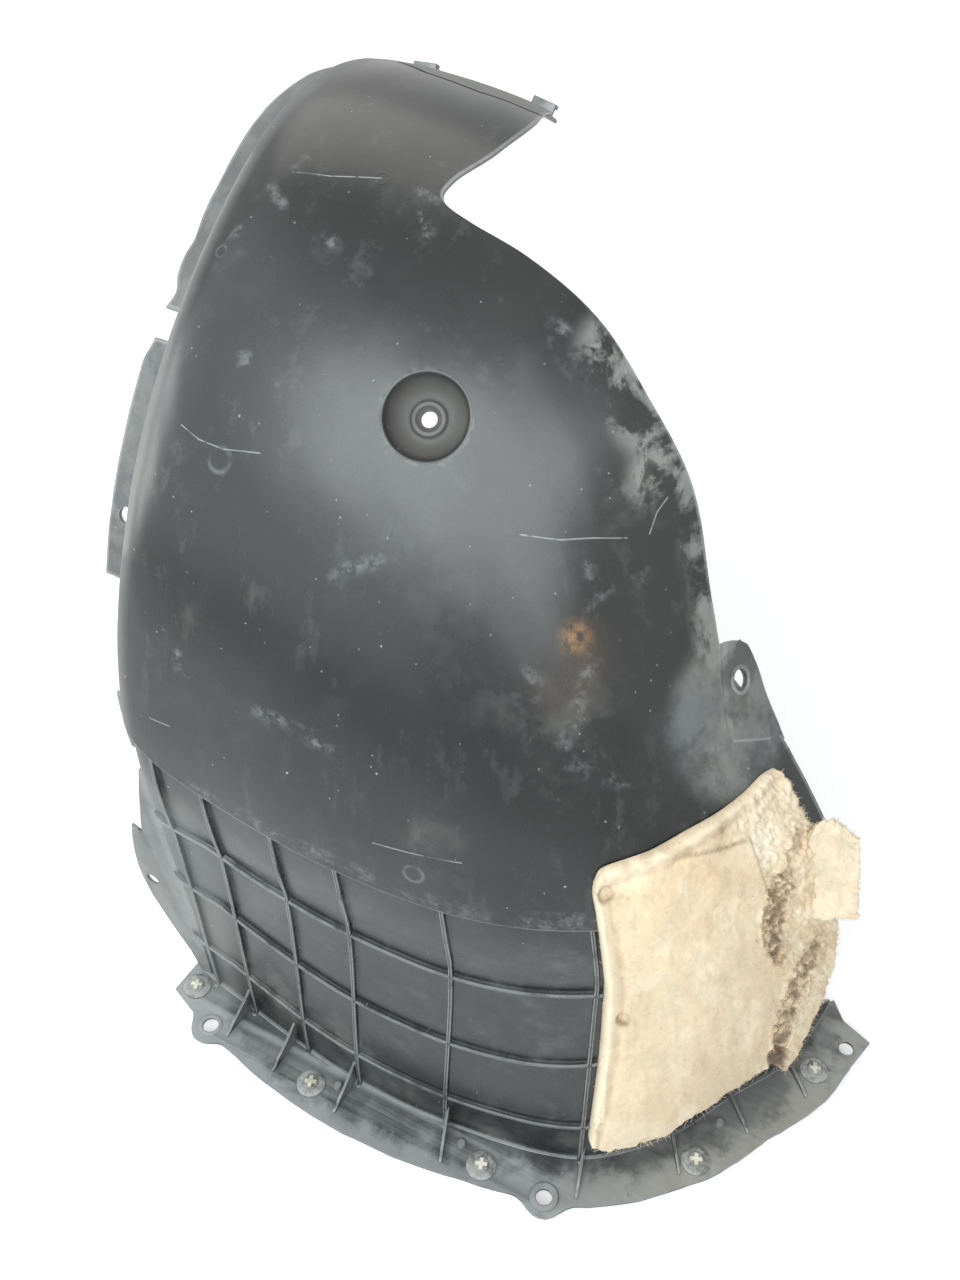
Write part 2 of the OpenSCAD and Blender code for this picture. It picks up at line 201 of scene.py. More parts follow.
def put(pts, place):
    """Points given in a place's own axes."""
    o, x, y, z = place
    return o + pts[..., :1] * x + pts[..., 1:2] * y + pts[..., 2:] * z


class Bag:
    """Gathers closed shapes for one piece."""

    def __init__(self):
        self.v, self.f, self.n = [], [], 0

    def add(self, verts, faces):
        self.v.append(np.asarray(verts, float).reshape(-1, 3))
        self.f += [tuple(int(i) + self.n for i in f) for f in faces]
        self.n += len(self.v[-1])

    def sheet(self, outer, inner, push=0.35):
        """A plate between two equal grids, with a slightly rounded rim."""
        outer, inner = np.asarray(outer, float), np.asarray(inner, float)
        rows, cols = outer.shape[:2]
        idx = np.arange(rows * cols).reshape(rows, cols)
        n = rows * cols
        quads = np.stack([idx[:-1, :-1], idx[:-1, 1:], idx[1:, 1:], idx[1:, :-1]], -1).reshape(-1, 4)
        ring = ([(0, c) for c in range(cols - 1)] + [(r, cols - 1) for r in range(rows - 1)]
                + [(rows - 1, c) for c in range(cols - 1, 0, -1)] + [(r, 0) for r in range(rows - 1, 0, -1)])
        mid = []
        for r, c in ring:
            ri, ci = min(max(r, 1), rows - 2), min(max(c, 1), cols - 2)
            m = (outer[r, c] + inner[r, c]) / 2
            away = m - (outer[ri, ci] + inner[ri, ci]) / 2
            size = np.linalg.norm(outer[r, c] - inner[r, c]) * push
            mid.append(m + away / max(np.linalg.norm(away), 1e-9) * size)
        k = len(ring)
        faces = [tuple(q) for q in quads] + [tuple(q[::-1] + n) for q in quads]
        for j in range(k):
            a, b = ring[j], ring[(j + 1) % k]
            ia, ib = idx[a], idx[b]
            ma, mb = 2 * n + j, 2 * n + (j + 1) % k
            faces += [(ib, ia, ma, mb), (mb, ma, n + ia, n + ib)]
        self.add(np.concatenate([outer.reshape(-1, 3), inner.reshape(-1, 3), mid]), faces)

    def plate(self, loops, thick, place, bevel=0.35):
        """A flat plate with rounded edges from plan outlines: the first is the rim, the others holes."""
        cu = bpy.data.curves.new("outline", "CURVE")
        cu.dimensions, cu.fill_mode = "2D", "BOTH"
        cu.extrude, cu.bevel_depth, cu.bevel_resolution = thick / 2 - bevel, bevel, 1
        cu.offset = -bevel
        for pts in loops:
            sp = cu.splines.new("POLY")
            sp.points.add(len(pts) - 1)
            for p, q in zip(sp.points, pts):
                p.co = (q[0], q[1], 0, 1)
            sp.use_cyclic_u = True
        ob = add_object("outline", cu)
        me = evaluated_mesh(ob)
        bm = bmesh.new()
        bm.from_mesh(me)
        bmesh.ops.remove_doubles(bm, verts=bm.verts, dist=0.01)
        v = np.array([x.co[:] for x in bm.verts])
        f = [[x.index for x in p.verts] for p in bm.faces]
        bm.free()
        bpy.data.objects.remove(ob)
        bpy.data.meshes.remove(me)
        bpy.data.curves.remove(cu)
        self.add(put(v, place), f)

    def turned(self, profile, place, steps=64):
        """A closed profile [radius, height] turned about the place's own Z; place may be a function too."""
        profile = np.array(profile, float)
        ang = np.linspace(0, 2 * math.pi, steps, endpoint=False)
        r, h = profile[:, 0], profile[:, 1]
        pts = np.stack([np.outer(np.cos(ang), r), np.outer(np.sin(ang), r),
                        np.broadcast_to(h, (steps, len(h)))], -1)
        m = len(profile)
        f = [(i * m + j, ((i + 1) % steps) * m + j, ((i + 1) % steps) * m + (j + 1) % m, i * m + (j + 1) % m)
             for i in range(steps) for j in range(m)]
        self.add(place(pts) if callable(place) else put(pts, place), f)

    def build(self, name, sharp=SHARP, cuts=()):
        v = (np.concatenate(self.v) - ORIGIN) / 1000
        me = bpy.data.meshes.new(name)
        me.from_pydata(v.tolist(), [], self.f)
        bm = bmesh.new()
        bm.from_mesh(me)
        bmesh.ops.recalc_face_normals(bm, faces=bm.faces)
        bm.to_mesh(me)
        bm.free()
        ob = add_object(name, me)
        for c in cuts:
            cut(ob, c)
        finish_mesh(ob, sharp)
        return ob


def finish_mesh(ob, sharp):
    """Smooth shading, with edges kept sharp from an angle on."""
    me = ob.data
    me.polygons.foreach_set("use_smooth", [True] * len(me.polygons))
    me.set_sharp_from_angle(angle=math.radians(sharp))
    me.update()


def placed(x, y, z, p):
    """The matrix of an object at p with these axes."""
    return Matrix([[x[i], y[i], z[i], p[i]] for i in range(3)] + [[0, 0, 0, 1]])


def cut(ob, cutter):
    """Drills a round hole: cutter is (place, radius, half length)."""
    (o, x, y, z), rad, half = cutter
    bm = bmesh.new()
    rad, deep = rad / 1000, half / 500
    bmesh.ops.create_cone(bm, cap_ends=True, segments=48, radius1=rad, radius2=rad, depth=deep)
    me = to_mesh(bm, "cutter")
    c = add_object("cutter", me)
    c.matrix_world = placed(x, y, z, (o - ORIGIN) / 1000)
    mod = ob.modifiers.new("hole", "BOOLEAN")
    mod.operation, mod.solver, mod.object = "DIFFERENCE", "EXACT", c
    new = evaluated_mesh(ob)
    ob.modifiers.clear()
    old, ob.data = ob.data, new
    bpy.data.meshes.remove(old)
    bpy.data.objects.remove(c)
    bpy.data.meshes.remove(me)


def circle(p, r, n=40):
    a = np.linspace(0, 2 * math.pi, n, endpoint=False)
    return [[p[0] + r * math.cos(t), p[1] + r * math.sin(t)] for t in a]


def flat_place(z, x=0.0, y=0.0):
    return np.array([x, y, z]), X, Y, Z


# the shell's parts
def bump(t, full, foot_w):
    """Height of a moulded rib across its width: flat top, drafted side, filleted foot."""
    t = np.abs(t)
    return np.clip((full + 0.55 - t) / 0.55, 0, 1) * 0.9 + 0.1 * ease((foot_w - t) / (foot_w - full))


def run_length(p, axis=0):
    """Length along lines of points, at each point."""
    return np.insert(np.cumsum(np.linalg.norm(np.diff(p, axis=axis), axis=-1), axis), 0, 0, axis)


def mirrored(*offsets):
    """Offsets to both sides of a rib, with its middle."""
    return [-o for o in offsets] + [0] + list(offsets[::-1])


def rib_columns():
    """Section positions of the ribbed wall's columns, close together at the ribs."""
    uu = np.linspace(0, WALL_END, 2000)
    length = run_length(surface(-90.0, uu))
    cols = list(np.arange(0, length[-1], 3.6))
    for u in RIB_U:
        c = np.interp(u, uu, length)
        cols = [a for a in cols if abs(a - c) > 3.8] + [c + o for o in mirrored(3.2, 2.2, 1.75, 1.2, 0.8)]
    cols = np.array(sorted(cols))
    return np.interp(cols, length, uu), cols


def ribbed_wall(bag):
    """The recessed wall with its upright and cross ribs; its grid is fine at each rib."""
    cu, cl = rib_columns()
    flat_cols = np.linspace(0, 1, 34)[1:]
    foot_w, gap, fillet = 3.2, 3.6, 3.0

    def curve(k, u):
        c, bow = CROSS[k]
        g = (u - 4.9) ** 2
        return c + bow * g * np.minimum(1, 4 / (0.01 + g))

    def all_cols(end):
        return np.concatenate([cu, WALL_END + (end - WALL_END) * flat_cols])

    top_u = all_cols(WALL_EDGE[-1, 0])
    top = step_line(top_u) + 0.5
    top = np.where(top > 0, top * DEG, top)
    low = np.full_like(top_u, BASE)
    ribs = [curve(k, np.minimum(top_u, 6.6)) for k in (2, 1, 0)]
    seq = [low + z for z in (0, 2.5, 2.9, 3.5, 4.3, 5.5)]

    def between(a, b, n):
        for k in np.linspace(0, 1, n + 2)[1:-1]:
            seq.append((a + gap) * (1 - k) + (b - gap) * k)

    between(low + 5.5 - gap + 1.5, ribs[0], 9)
    for c, above, n in zip(ribs, ribs[1:] + [top + gap], (13, 16, 16)):
        seq.extend(c + o for o in mirrored(3.2, 2.1, 1.7, 1.2, 0.8))
        between(c, above, n)
    seq.append(top)
    s = np.array(seq)
    s = np.where(s > 0, s / DEG, s)
    up = np.clip((s[:, -1] - BASE) / (step_line(9.0) - BASE), 0, 1)
    u = np.array([all_cols(e) for e in spline(WALL_EDGE, up * (len(WALL_EDGE) - 1))[..., 0]])
    mm = np.where(s > 0, s * DEG, s)
    h = np.zeros_like(u)
    for rib in RIB_U:
        away = np.concatenate([cl - np.interp(rib, cu, cl), np.full(len(flat_cols), 99.0)])
        h = np.maximum(h, bump(away, 1.15, foot_w)[None, :] * (s > BASE + 2.4))
    for k in (2, 1, 0):
        cross = bump(mm - curve(k, u), 0.9, foot_w) * ease((6.15 - u) / 0.1) * ease((u - 1.62) / 0.1)
        h = np.maximum(h, cross * 0.96)
    high = (RECESS - 0.6) * h
    # fillet where the wall meets the flange
    floor_z = BASE + SKIN
    z = np.clip(mm - floor_z, 0, fillet)
    round_ = fillet - np.sqrt(np.maximum(0, fillet ** 2 - (fillet - z) ** 2))
    high = high + np.where(mm < floor_z, fillet, round_) * (mm < floor_z + fillet)
    high = high + 0.25 * ripple(u * 2.2, mm / 45, 1.0)
    bag.sheet(skin(s, u, high - RECESS), skin(s, u, -RECESS - SKIN))


def panel_uv(rows=151, cols=111):
    """The smooth panel's grid, from the step up to the top end."""
    t = np.linspace(0, 1, rows)[:, None]
    e = spline(EDGE_ROWS, t[:, 0] * (len(EDGE_ROWS) - 1))
    v = np.linspace(0, 1, cols)[None, :]
    v = v + 0.05 * np.sin(2 * math.pi * v) / (2 * math.pi)
    u = e[:, 2:3] * v
    start = step_line(u) + 0.9 - (EDGE_ROWS[0, 0] + (EDGE_ROWS[0, 1] - EDGE_ROWS[0, 0]) * v * v)
    s = e[:, :1] + (e[:, 1:2] - e[:, :1]) * v * v + start * (1 - t) ** 6
    return s, u


def smooth_panel(bag):
    """The arch skin above the step, with the step's rounded lip: degrees up and mm out."""
    s, u = panel_uv()
    lips = [(0.42, -5.7), (0.12, -5.1), (0.0, -3.6), (-0.07, -1.9), (-0.06, -0.8), (0.0, -0.2),
            (0.12, 0.12), (0.3, 0.14), (0.55, 0.05)]
    first = step_line(u[0])
    s_all = np.concatenate([[first + a for a, _ in lips], s])
    u_all = np.concatenate([[u[0]] * len(lips), u])
    d = np.concatenate([[np.full_like(first, b) for _, b in lips], np.zeros_like(s)])
    d = d + panel_wave(s_all, u_all) * ease((s_all - 14) / 6)
    inner_d = -SKIN - (RECESS + 0.6) * (1 - ease((s_all - step_line(u_all) - 0.5) / 1.4))
    s_in = np.concatenate([[first + k for k in np.linspace(0.35, 0.72, len(lips))], s])
    bag.sheet(skin(s_all, u_all, d), skin(s_in, u_all, np.minimum(inner_d, d - 1.6)))


def panel_wave(s, u):
    """The plastic's slight waviness, in mm."""
    return 0.35 * ripple(u * 1.3, s / 9, 0.4)


def pace(s, u):
    """mm for a degree up and for one position across."""
    return (np.linalg.norm(surface(s + 1, u) - surface(s, u)),
            np.linalg.norm(surface(s, u + 0.1) - surface(s, u - 0.1)) / 0.2)


def dish_shape():
    """Maps dish coordinates onto the panel, so that the rim follows its curve."""
    up, across = pace(DISH_S, DISH_U)
    p, x, y, z = local_frame(DISH_S, DISH_U)
    rows = np.array([unit(axes_at(DISH_S, DISH_U)[0]), y])
    # across and up directions aren't quite square: solve for the two coordinates
    m = np.array([[rows[0] @ x, rows[1] @ x], [rows[0] @ y, rows[1] @ y]])
    inv = np.linalg.inv(m)

    def shape(pts):
        a = pts[..., 0] * inv[0, 0] + pts[..., 1] * inv[0, 1]
        b = pts[..., 0] * inv[1, 0] + pts[..., 1] * inv[1, 1]
        s, u = DISH_S + b / up, DISH_U + a / across
        k = ease((np.hypot(pts[..., 0], pts[..., 1]) - 14) / 7)[..., None]
        curved = skin(s, u, panel_wave(s, u))
        flat = p + pts[..., :1] * x + pts[..., 1:2] * y
        return curved * k + flat * (1 - k) + pts[..., 2:] * z
    return shape


def dish(bag):
    r, d, h = DISH_R, DISH_D, DISH_HOLE
    bag.turned([
        [r + 1.5, -0.35], [r + 0.9, 0.06], [r + 0.2, 0.05], [r - 0.35, -0.35], [r - 0.9, -1.1],
        [r - 3.0, -4.2], [r - 5.5, -6.9], [r - 7.6, -8.2], [h + 8.4, -d], [h + 6.4, -d - 0.15],
        [h + 5.6, -d + 0.1], [h + 4.9, -d + 1.1], [h + 4.2, -d + 1.7], [h + 2.6, -d + 1.75],
        [h + 2.0, -d + 1.2], [h + 0.9, -d + 0.7], [h, -d + 0.2], [h, -d - 2.4], [h + 9, -d - 2.5],
        [r - 6.5, -d - 0.6], [r - 2.5, -6.0], [r + 1.2, -2.4]], dish_shape(), 96)


def collar(bag, r, profile, z, place, steps=64):
    """A ring round a hole of radius r, its profile given out from the hole and up from z."""
    bag.turned([[r + out, z + up] for out, up in profile], place, steps)


def bottom_flange(bag):
    u = np.linspace(2.45, 9.4, 150)
    d = 30 + spline([[-4], [4], [4], [0], [1], [5], [5], [3.0]], u - 2.4)[..., 0]
    p = foot(u, 0.0)
    n = unit(foot(u, 1.0) - p)
    for lug in (SIDE_LUG, FRONT_LUG):
        w = foot(*lug) - p
        along = np.abs(w[:, 0] * n[:, 1] - w[:, 1] * n[:, 0])
        reach = (w * n).sum(1) + np.sqrt(np.maximum(0, LUG_R ** 2 - along ** 2))
        d = np.where(along < LUG_R - 0.1, np.maximum(d, reach), d)
    # soften the corner where a lug meets the rim
    for _ in range(2):
        d[1:-1] = (d[:-2] + 2 * d[1:-1] + d[2:]) / 4
    rim = p + (d + 0.5 * ripple(u * 9, u * 2, 3.0))[:, None] * n
    left, right = foot(2.0), foot(10.0)
    heel = foot(np.linspace(9.9, 2, 60), -RECESS - SKIN + 0.6)
    outline = np.concatenate([[left + [-10, 12], left + [-12, -21]], rim,
                              [right + [33, -19], right + [11, -11], right + [0, 2]], heel])
    holes = [circle(foot(*SIDE_LUG), LUG_HOLE), circle(foot(*FRONT_LUG), LUG_HOLE),
             circle(foot(*REAR_HOLE), REAR_HOLE_R, 32)]
    holes += [circle(foot(*clip), CLIP_HOLE, 24) for clip in CLIPS]
    bag.plate([outline] + holes, SKIN, flat_place(BASE + SKIN / 2))
    top = BASE + SKIN
    for lug, profile in ((FRONT_LUG, [(0, -1), (4.1, -1), (4, 1.3), (3.4, 1.9), (0.7, 1.9), (0, 1.3)]),
                         (SIDE_LUG, [(0, -1), (3.2, -1), (3, 0.3), (2.6, 0.6), (0.5, 0.6), (0, 0.2)])):
        collar(bag, LUG_HOLE, profile, top, flat_place(0, *foot(*lug)))
    stud = [[0.001, top - 1], [3.0, top - 1], [2.8, top + 3.9], [2.3, top + 4.5], [0.001, top + 4.6]]
    for u in STUDS:
        bag.turned(stud, flat_place(0, *foot(u, STUD_OUT)), 28)


def gussets(bag):
    """Upright plates that carry the wall's ribs out on to the flange."""
    reach, toe = 26, 4.9
    for u, turn, h in GUSSETS:
        p = foot(u)
        a = math.radians(turn)
        x = np.array([math.cos(a), math.sin(a), 0])
        hi = h + 1.0
        side = [[-6.4, 0.6], [reach - 0.4, 0.6], [reach, 1.2], [reach, 3.6], [reach - 0.7, 4.3], [22, toe]]
        side += [[reach - 31 * k - 2.2 * math.sin(math.pi * k), toe + (hi - toe) * k]
                 for k in np.linspace(0.2, 0.94, 6)]
        side += [[-5.2, hi], [-6.4, hi]]
        bag.plate([side], RIB, (np.array([p[0], p[1], BASE]), x, Z, np.cross(x, Z)), 0.5)


def lip_point(t, x, r):
    """A point on the lip circle, t degrees up from the front, r out from its centre."""
    a = np.radians(t)
    return np.stack([np.broadcast_to(x, np.shape(a)), -r * np.cos(a), RISE + r * np.sin(a)], -1)


def band(bag, t0, t1, width, x1, rows=60, cols=14):
    """A brim along the lip circle from t0 to t1 degrees, out to its width and in to x1."""
    t = np.linspace(t0, t1, rows)
    w = width(np.linspace(0, 1, rows))
    x = -w[:, None] + (x1 + w[:, None]) * np.linspace(0, 1, cols)[None, :]
    tt = np.broadcast_to(t[:, None], x.shape)
    lift = 0.25 * ripple(tt * 0.4, x * 0.12, 5.0)
    bag.sheet(lip_point(tt, x, LIP_R + 1 + lift), lip_point(tt, x, LIP_R + 1 - SKIN))


def top_brim(bag):
    """The long brim up to the crown, which narrows out and has a torn edge."""
    rows, cols = 70, 12
    k = np.linspace(0, 1, rows)
    s = TOP_BRIM[0] + (TOP_BRIM[1] - TOP_BRIM[0]) * k
    wide = 0.88 * BRIM * np.sqrt(np.maximum(0.01, 1 - (np.maximum(0, k - 0.45) / 0.56) ** 2))
    tear = 4.0 * peak(k, 0.04, 0.04) + 1.6 * peak(k, 0.2, 0.03)
    tear += 0.35 * ripple(k * 40, k * 17, 2.0) * ease((0.55 - k) / 0.2)
    wide = np.maximum(1.5, wide - tear)[:, None]
    out = np.stack([np.zeros(rows), -np.cos(np.radians(s)), np.sin(np.radians(s))], -1)[:, None, :]
    v = np.linspace(0, 1, cols)[None, :]
    p = surface(s, 0.05)[:, None, :] + np.zeros((rows, cols, 3))
    p[..., 0] += -wide + (1.5 + wide) * v
    lift = 0.5 * ripple(k[:, None] * 9, v * 2, 1.0)
    bag.sheet(p + out * (2 + lift[..., None]), p - out * 0.5)


def low_fin(bag):
    """The flat fin beside the wall's left end, with its screw hole."""
    y = surface(-80.0, 2.0)[1] + RECESS
    rim = [[15, 46], [1, 40], [-4, 18], [-11, -20], [-13, -34], [-16.5, -32.5], [-21, -30], [-24, -46],
           [-26, -64], [-26.5, -78], [-25.5, -92], [-21, -112], [-13, -133], [-6, -150], [2, -168],
           [8, BASE + 1], [17, BASE + 1]]
    bag.plate([rim, circle(FIN_HOLE, FIN_HOLE_R, 36)], SKIN, (np.array([0, y + SKIN / 2, 0]), X, Z, -Y))


def end_strip(bag):
    """The thin overlap past the top end, with its two hooks."""
    s = np.linspace(END - 1.2, END + 2, 12)[:, None]
    u = np.linspace(1, EDGE_ROWS[-1, 2] - 0.02, 60)[None, :]
    s, u = np.broadcast_arrays(s, u)
    bag.sheet(skin(s, u, -SKIN + 0.8), skin(s, u, -2 * SKIN + 0.8))
    for hu in HOOKS:
        o, x, y, z = local_frame(END + 1.1, hu, -SKIN + 0.3)
        hook = [[-3, -1], [-0.4, -1], [-0.4, 4.4], [3, 4.4], [3, 7], [-2.4, 7], [-3, 6.4]]
        bag.plate([hook], HOOK_WIDE, (o, y, z, x), 0.5)


def screw_tab(bag):
    """The tab past the free edge: rows of height, left and right end about its screw hole."""
    rows = np.array([[-34, -20, 33], [-20, -20, 27.5], [-4, -20, 21.5], [6, -20, 18.2],
                     [13.8, -18, 13.7], [18, -13, 10.5], [20.7, -5, 7.6], [21.7, 0, 4.0]])
    up, across = pace(TAB_S, TAB_U)
    r = spline(rows, np.linspace(0, 7, 40))
    x = r[:, 1:2] + (r[:, 2:3] - r[:, 1:2]) * np.linspace(0, 1, 34)[None, :]
    y = np.broadcast_to(r[:, :1], x.shape)
    crease = 0.9 * peak(x, -14, 1.3)
    s, u = TAB_S + y / up, TAB_U + x / across
    proud = 1.1 * ease(np.minimum((y + 34) / 12, (x + 20) / 6)) - 0.4
    bag.sheet(skin(s, u, proud + 0.5 * ease((x + 13) / 3) - crease), skin(s, u, proud - SKIN))


def build_shell():
    panel, tab, brims, rest = Bag(), Bag(), Bag(), Bag()
    smooth_panel(panel)
    panel = panel.build("shell_panel", cuts=[(local_frame(DISH_S, DISH_U), DISH_R + 0.1, CUT_DEEP)])
    tab_place = local_frame(TAB_S, TAB_U)
    screw_tab(tab)
    tab = tab.build("shell_tab", cuts=[(tab_place, TAB_HOLE, CUT_DEEP)])
    band(brims, *MID_BRIM, lambda k: BRIM - 3 * ease((k - 0.9) / 0.1), 2.0)
    band(brims, *LOW_BRIM, lambda k: BRIM - 2 + 0 * k, RECESS + 1.5, rows=26)

    lip_cuts = []
    for t, from_rim in LIP_HOLES:
        a = math.radians(t)
        out = np.array([0, -math.cos(a), math.sin(a)])
        place = lip_point(t, from_rim - BRIM, LIP_R), X, np.cross(out, X), out
        lip_cuts.append((place, LIP_HOLE, CUT_DEEP))
    brims = brims.build("shell_brims", cuts=lip_cuts)
    for make in (ribbed_wall, dish, bottom_flange, gussets, top_brim, low_fin, end_strip):
        make(rest)
    collar(rest, TAB_HOLE, [(0, -2), (2.6, -2), (2.5, 0.5), (2, 0.8), (0.5, 0.8), (0, 0.4)], 1.2, tab_place, 48)
    rest = rest.build("shell_rest")
    return join("liner_moulding", [rest, panel, tab, brims])


def join(name, obs):
    bm = bmesh.new()
    for o in obs:
        bm.from_mesh(o.data)
    for o in obs:
        old = o.data
        bpy.data.objects.remove(o)
        bpy.data.meshes.remove(old)
    ob = add_object(name, to_mesh(bm, name))
    finish_mesh(ob, SHARP)
    return ob


def vertex_values(ob, what):
    out = np.empty(len(ob.data.vertices) * 3)
    ob.data.vertices.foreach_get(what, out)
    return out.reshape(-1, 3)


def store(ob, name, values):
    ob.data.attributes.new(name, "FLOAT", "POINT").data.foreach_set("value", values.astype(np.float32))


WHEEL_CENTRE = np.array([-0.1, 0.377, 0.192])        # in the frame, metres


def mark_edges(ob):
    """Stores how sharply each vertex stands out, above 0, or lies in a corner, below 0, and its face's side:
    1 on the outside of the arch's curve, away from the wheel's centre, which is the side in the photo."""
    co, no = vertex_values(ob, "co"), vertex_values(ob, "normal")
    ed = np.empty(len(ob.data.edges) * 2, int)
    ob.data.edges.foreach_get("vertices", ed)
    ed = ed.reshape(-1, 2)
    total, count = np.zeros(len(co)), np.zeros(len(co))
    for i, j in ((0, 1), (1, 0)):
        d = co[ed[:, i]] - co[ed[:, j]]
        k = (no[ed[:, i]] * d).sum(1) / np.maximum(np.linalg.norm(d, axis=1), 1e-7)
        np.add.at(total, ed[:, i], k)
        np.add.at(count, ed[:, i], 1)
    store(ob, "stand", total / np.maximum(count, 1))
    away = (no * unit(co - WHEEL_CENTRE)).sum(1)
    store(ob, "outside", ease((away + 0.12) / 0.24))


shell = build_shell()
mark_edges(shell)
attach(shell, "root")
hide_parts("liner_shell")


# felt pad
EYE = np.array([436.4, -709.0, 680.7])               # the camera, in the arch's axes
TURN, PITCH = math.radians(28), math.radians(45)
RIGHT = np.array([math.cos(TURN), math.sin(TURN), 0.0])
AHEAD = np.array([-math.sin(TURN) * math.cos(PITCH), math.cos(TURN) * math.cos(PITCH), -math.sin(PITCH)])
UP = np.cross(RIGHT, AHEAD)
MIDDLE, PIXELS = (480, 640), 1.32                    # the photo's middle, and its pixels for 1 mm at a metre
CROP_AT, CROP_ZOOM = (560, 740), (3.5875, 3.5636)    # the enlarged view of the pad that marks are read from


def seen(p):
    """Where the photographer saw a point: across and down from the middle, in mm at a metre."""
    v = np.asarray(p) - EYE
    z = v @ AHEAD
    return np.stack([1000 * (v @ RIGHT) / z, -1000 * (v @ UP) / z], -1)


def mark(x, y):
    """A place on the pad in the enlarged view, as seen() gives it."""
    return tuple(((corner + v / zoom) - mid) / PIXELS
                 for v, corner, zoom, mid in zip((x, y), CROP_AT, CROP_ZOOM, MIDDLE))


def marks(*pts):
    return np.array([mark(*q) for q in pts])


def line_dist(q, line):
    """Distance of points q from a polyline, and how far along it the nearest point lies, 0 to 1."""
    best, along = np.full(q.shape[:-1], 1e9), np.zeros(q.shape[:-1])
    length = run_length(line)
    for i, (a, b) in enumerate(zip(line, line[1:])):
        k = np.clip(((q - a) @ (b - a)) / ((b - a) @ (b - a)), 0, 1)
        dist = np.linalg.norm(q - (a + k[..., None] * (b - a)), axis=-1)
        near = dist < best
        best = np.where(near, dist, best)
        along = np.where(near, (length[i] + k * (length[i + 1] - length[i])) / length[-1], along)
    return best, along


def inside(q, poly):
    """Signed distance from a closed outline, positive inside."""
    x, y = q[..., 0], q[..., 1]
    ring = np.concatenate([poly, poly[:1]])
    odd = np.zeros(x.shape, bool)
    for (x0, y0), (x1, y1) in zip(ring, ring[1:]):
        odd ^= ((y0 > y) != (y1 > y)) & (x < (x1 - x0) * (y - y0) / (y1 - y0 + 1e-12) + x0)
    d = line_dist(q, ring)[0]
    return np.where(odd, d, -d)


def lattice(x, y, seed):
    """Smooth random values between 0 and 1 on a unit lattice."""
    xi, yi = np.floor(x).astype(np.int64), np.floor(y).astype(np.int64)
    fx, fy = ease(x - xi), ease(y - yi)

    def h(i, j):
        k = (i * 374761393 + j * 668265263 + seed * 974634777) & 0xFFFFFFFF
        k = ((k ^ (k >> 13)) * 1274126177) & 0xFFFFFFFF
        return ((k ^ (k >> 16)) & 0xFFFF) / 65535.0
    return ((h(xi, yi) * (1 - fx) + h(xi + 1, yi) * fx) * (1 - fy)
            + (h(xi, yi + 1) * (1 - fx) + h(xi + 1, yi + 1) * fx) * fy)


def cloud(x, y, seed, octaves=4):
    """Lattice values at ever finer scales, added up."""
    out, amp, tot = 0, 1.0, 0
    for k in range(octaves):
        out = out + amp * lattice(x * 2 ** k + 17.3 * k, y * 2 ** k - 9.1 * k, seed + k)
        tot += amp
        amp *= 0.55
    return out / tot


# the pad's edges: [station, position], negative stations in mm
PAD_LEFT = np.array([[-160, 6.06], [-123, 6.07], [-85, 6.08], [-57, 6.08], [-29, 6.07], [0.5, 6.06],
                     [6.7, 6.05], [12, 6.05], [14.6, 6.04], [15.97, 6.06]])
PAD_TOP = np.array([[15.97, 6.06], [17.22, 6.12], [17.9, 6.22], [18.66, 6.4], [19.5, 6.61], [21.4, 6.99],
                    [23.05, 7.43], [24.5, 7.78], [26.0, 8.07], [26.55, 8.27]])
PAD_RIGHT = np.array([[-184, 8.75], [-173, 8.94], [-150, 9.08], [-134, 9.14], [-113, 9.17], [-95, 9.15],
                      [-59, 9.07], [-24, 8.92], [-4, 8.76], [8, 8.7], [17, 8.65], [19, 8.57], [23, 8.47],
                      [25.3, 8.41], [26.55, 8.27]])
PAD_LOW = np.array([[-160, 6.06], [-172, 6.2], [-173, 6.38], [-170.5, 6.61], [-174, 6.86], [-166, 7.02],
                    [-164, 7.46], [-161, 7.73], [-164, 8.12], [-160, 8.37], [-170, 8.62], [-184, 8.75]])
# the torn cover sheet's outline, the three tears and the staked dents, in the enlarged view
COVER_TOP = marks((128, 512), (210, 490), (330, 425), (470, 405), (600, 380), (680, 350))
COVER = np.concatenate([marks((150, 1400), (165, 1000), (150, 640)), COVER_TOP, marks(
    (722, 480), (745, 560), (718, 620), (728, 700), (750, 770), (790, 800), (845, 815), (825, 880), (795, 950),
    (775, 1030), (755, 1110), (690, 1190), (540, 1290), (380, 1400), (220, 1440))])
TEAR_1 = marks((800, 500), (780, 560), (770, 640), (752, 700), (785, 765))
TEAR_2 = marks((925, 715), (880, 800), (840, 880), (815, 960), (797, 1040), (780, 1130))
TEAR_3 = marks((862, 330), (835, 410), (812, 500))
DIMPLES = [(mark(163, 548), 7.2), (mark(225, 992), 5.6), (mark(140, 1380), 4.8)]
PAD_FACE = 4.0                                       # the pad's face above the skin
PAD_FIBRES, FLAP_FIBRES = 3400, 420


def even(line, n):
    """n points spread evenly along an edge, stations turned into mm up the wall."""
    p = line.copy()
    p[:, 0] = np.where(p[:, 0] > 0, p[:, 0] * DEG, p[:, 0])
    fine = spline(p, np.linspace(0, len(p) - 1, 400))
    length = run_length(fine * [1, 58])
    k = np.linspace(0, length[-1], n)
    return np.stack([np.interp(k, length, fine[:, i]) for i in (0, 1)], -1)


def between_edges(left, right, low, top):
    """A grid of points that four edges bound, with its two coordinates, 0 to 1."""
    a, b = np.linspace(0, 1, len(low))[None, :, None], np.linspace(0, 1, len(left))[:, None, None]
    grid = ((1 - a) * left[:, None] + a * right[:, None] + (1 - b) * low[None] + b * top[None]
            - (1 - a) * (1 - b) * low[0] - a * (1 - b) * low[-1] - (1 - a) * b * top[0] - a * b * top[-1])
    return grid, *np.broadcast_arrays(a[..., 0], b[..., 0])


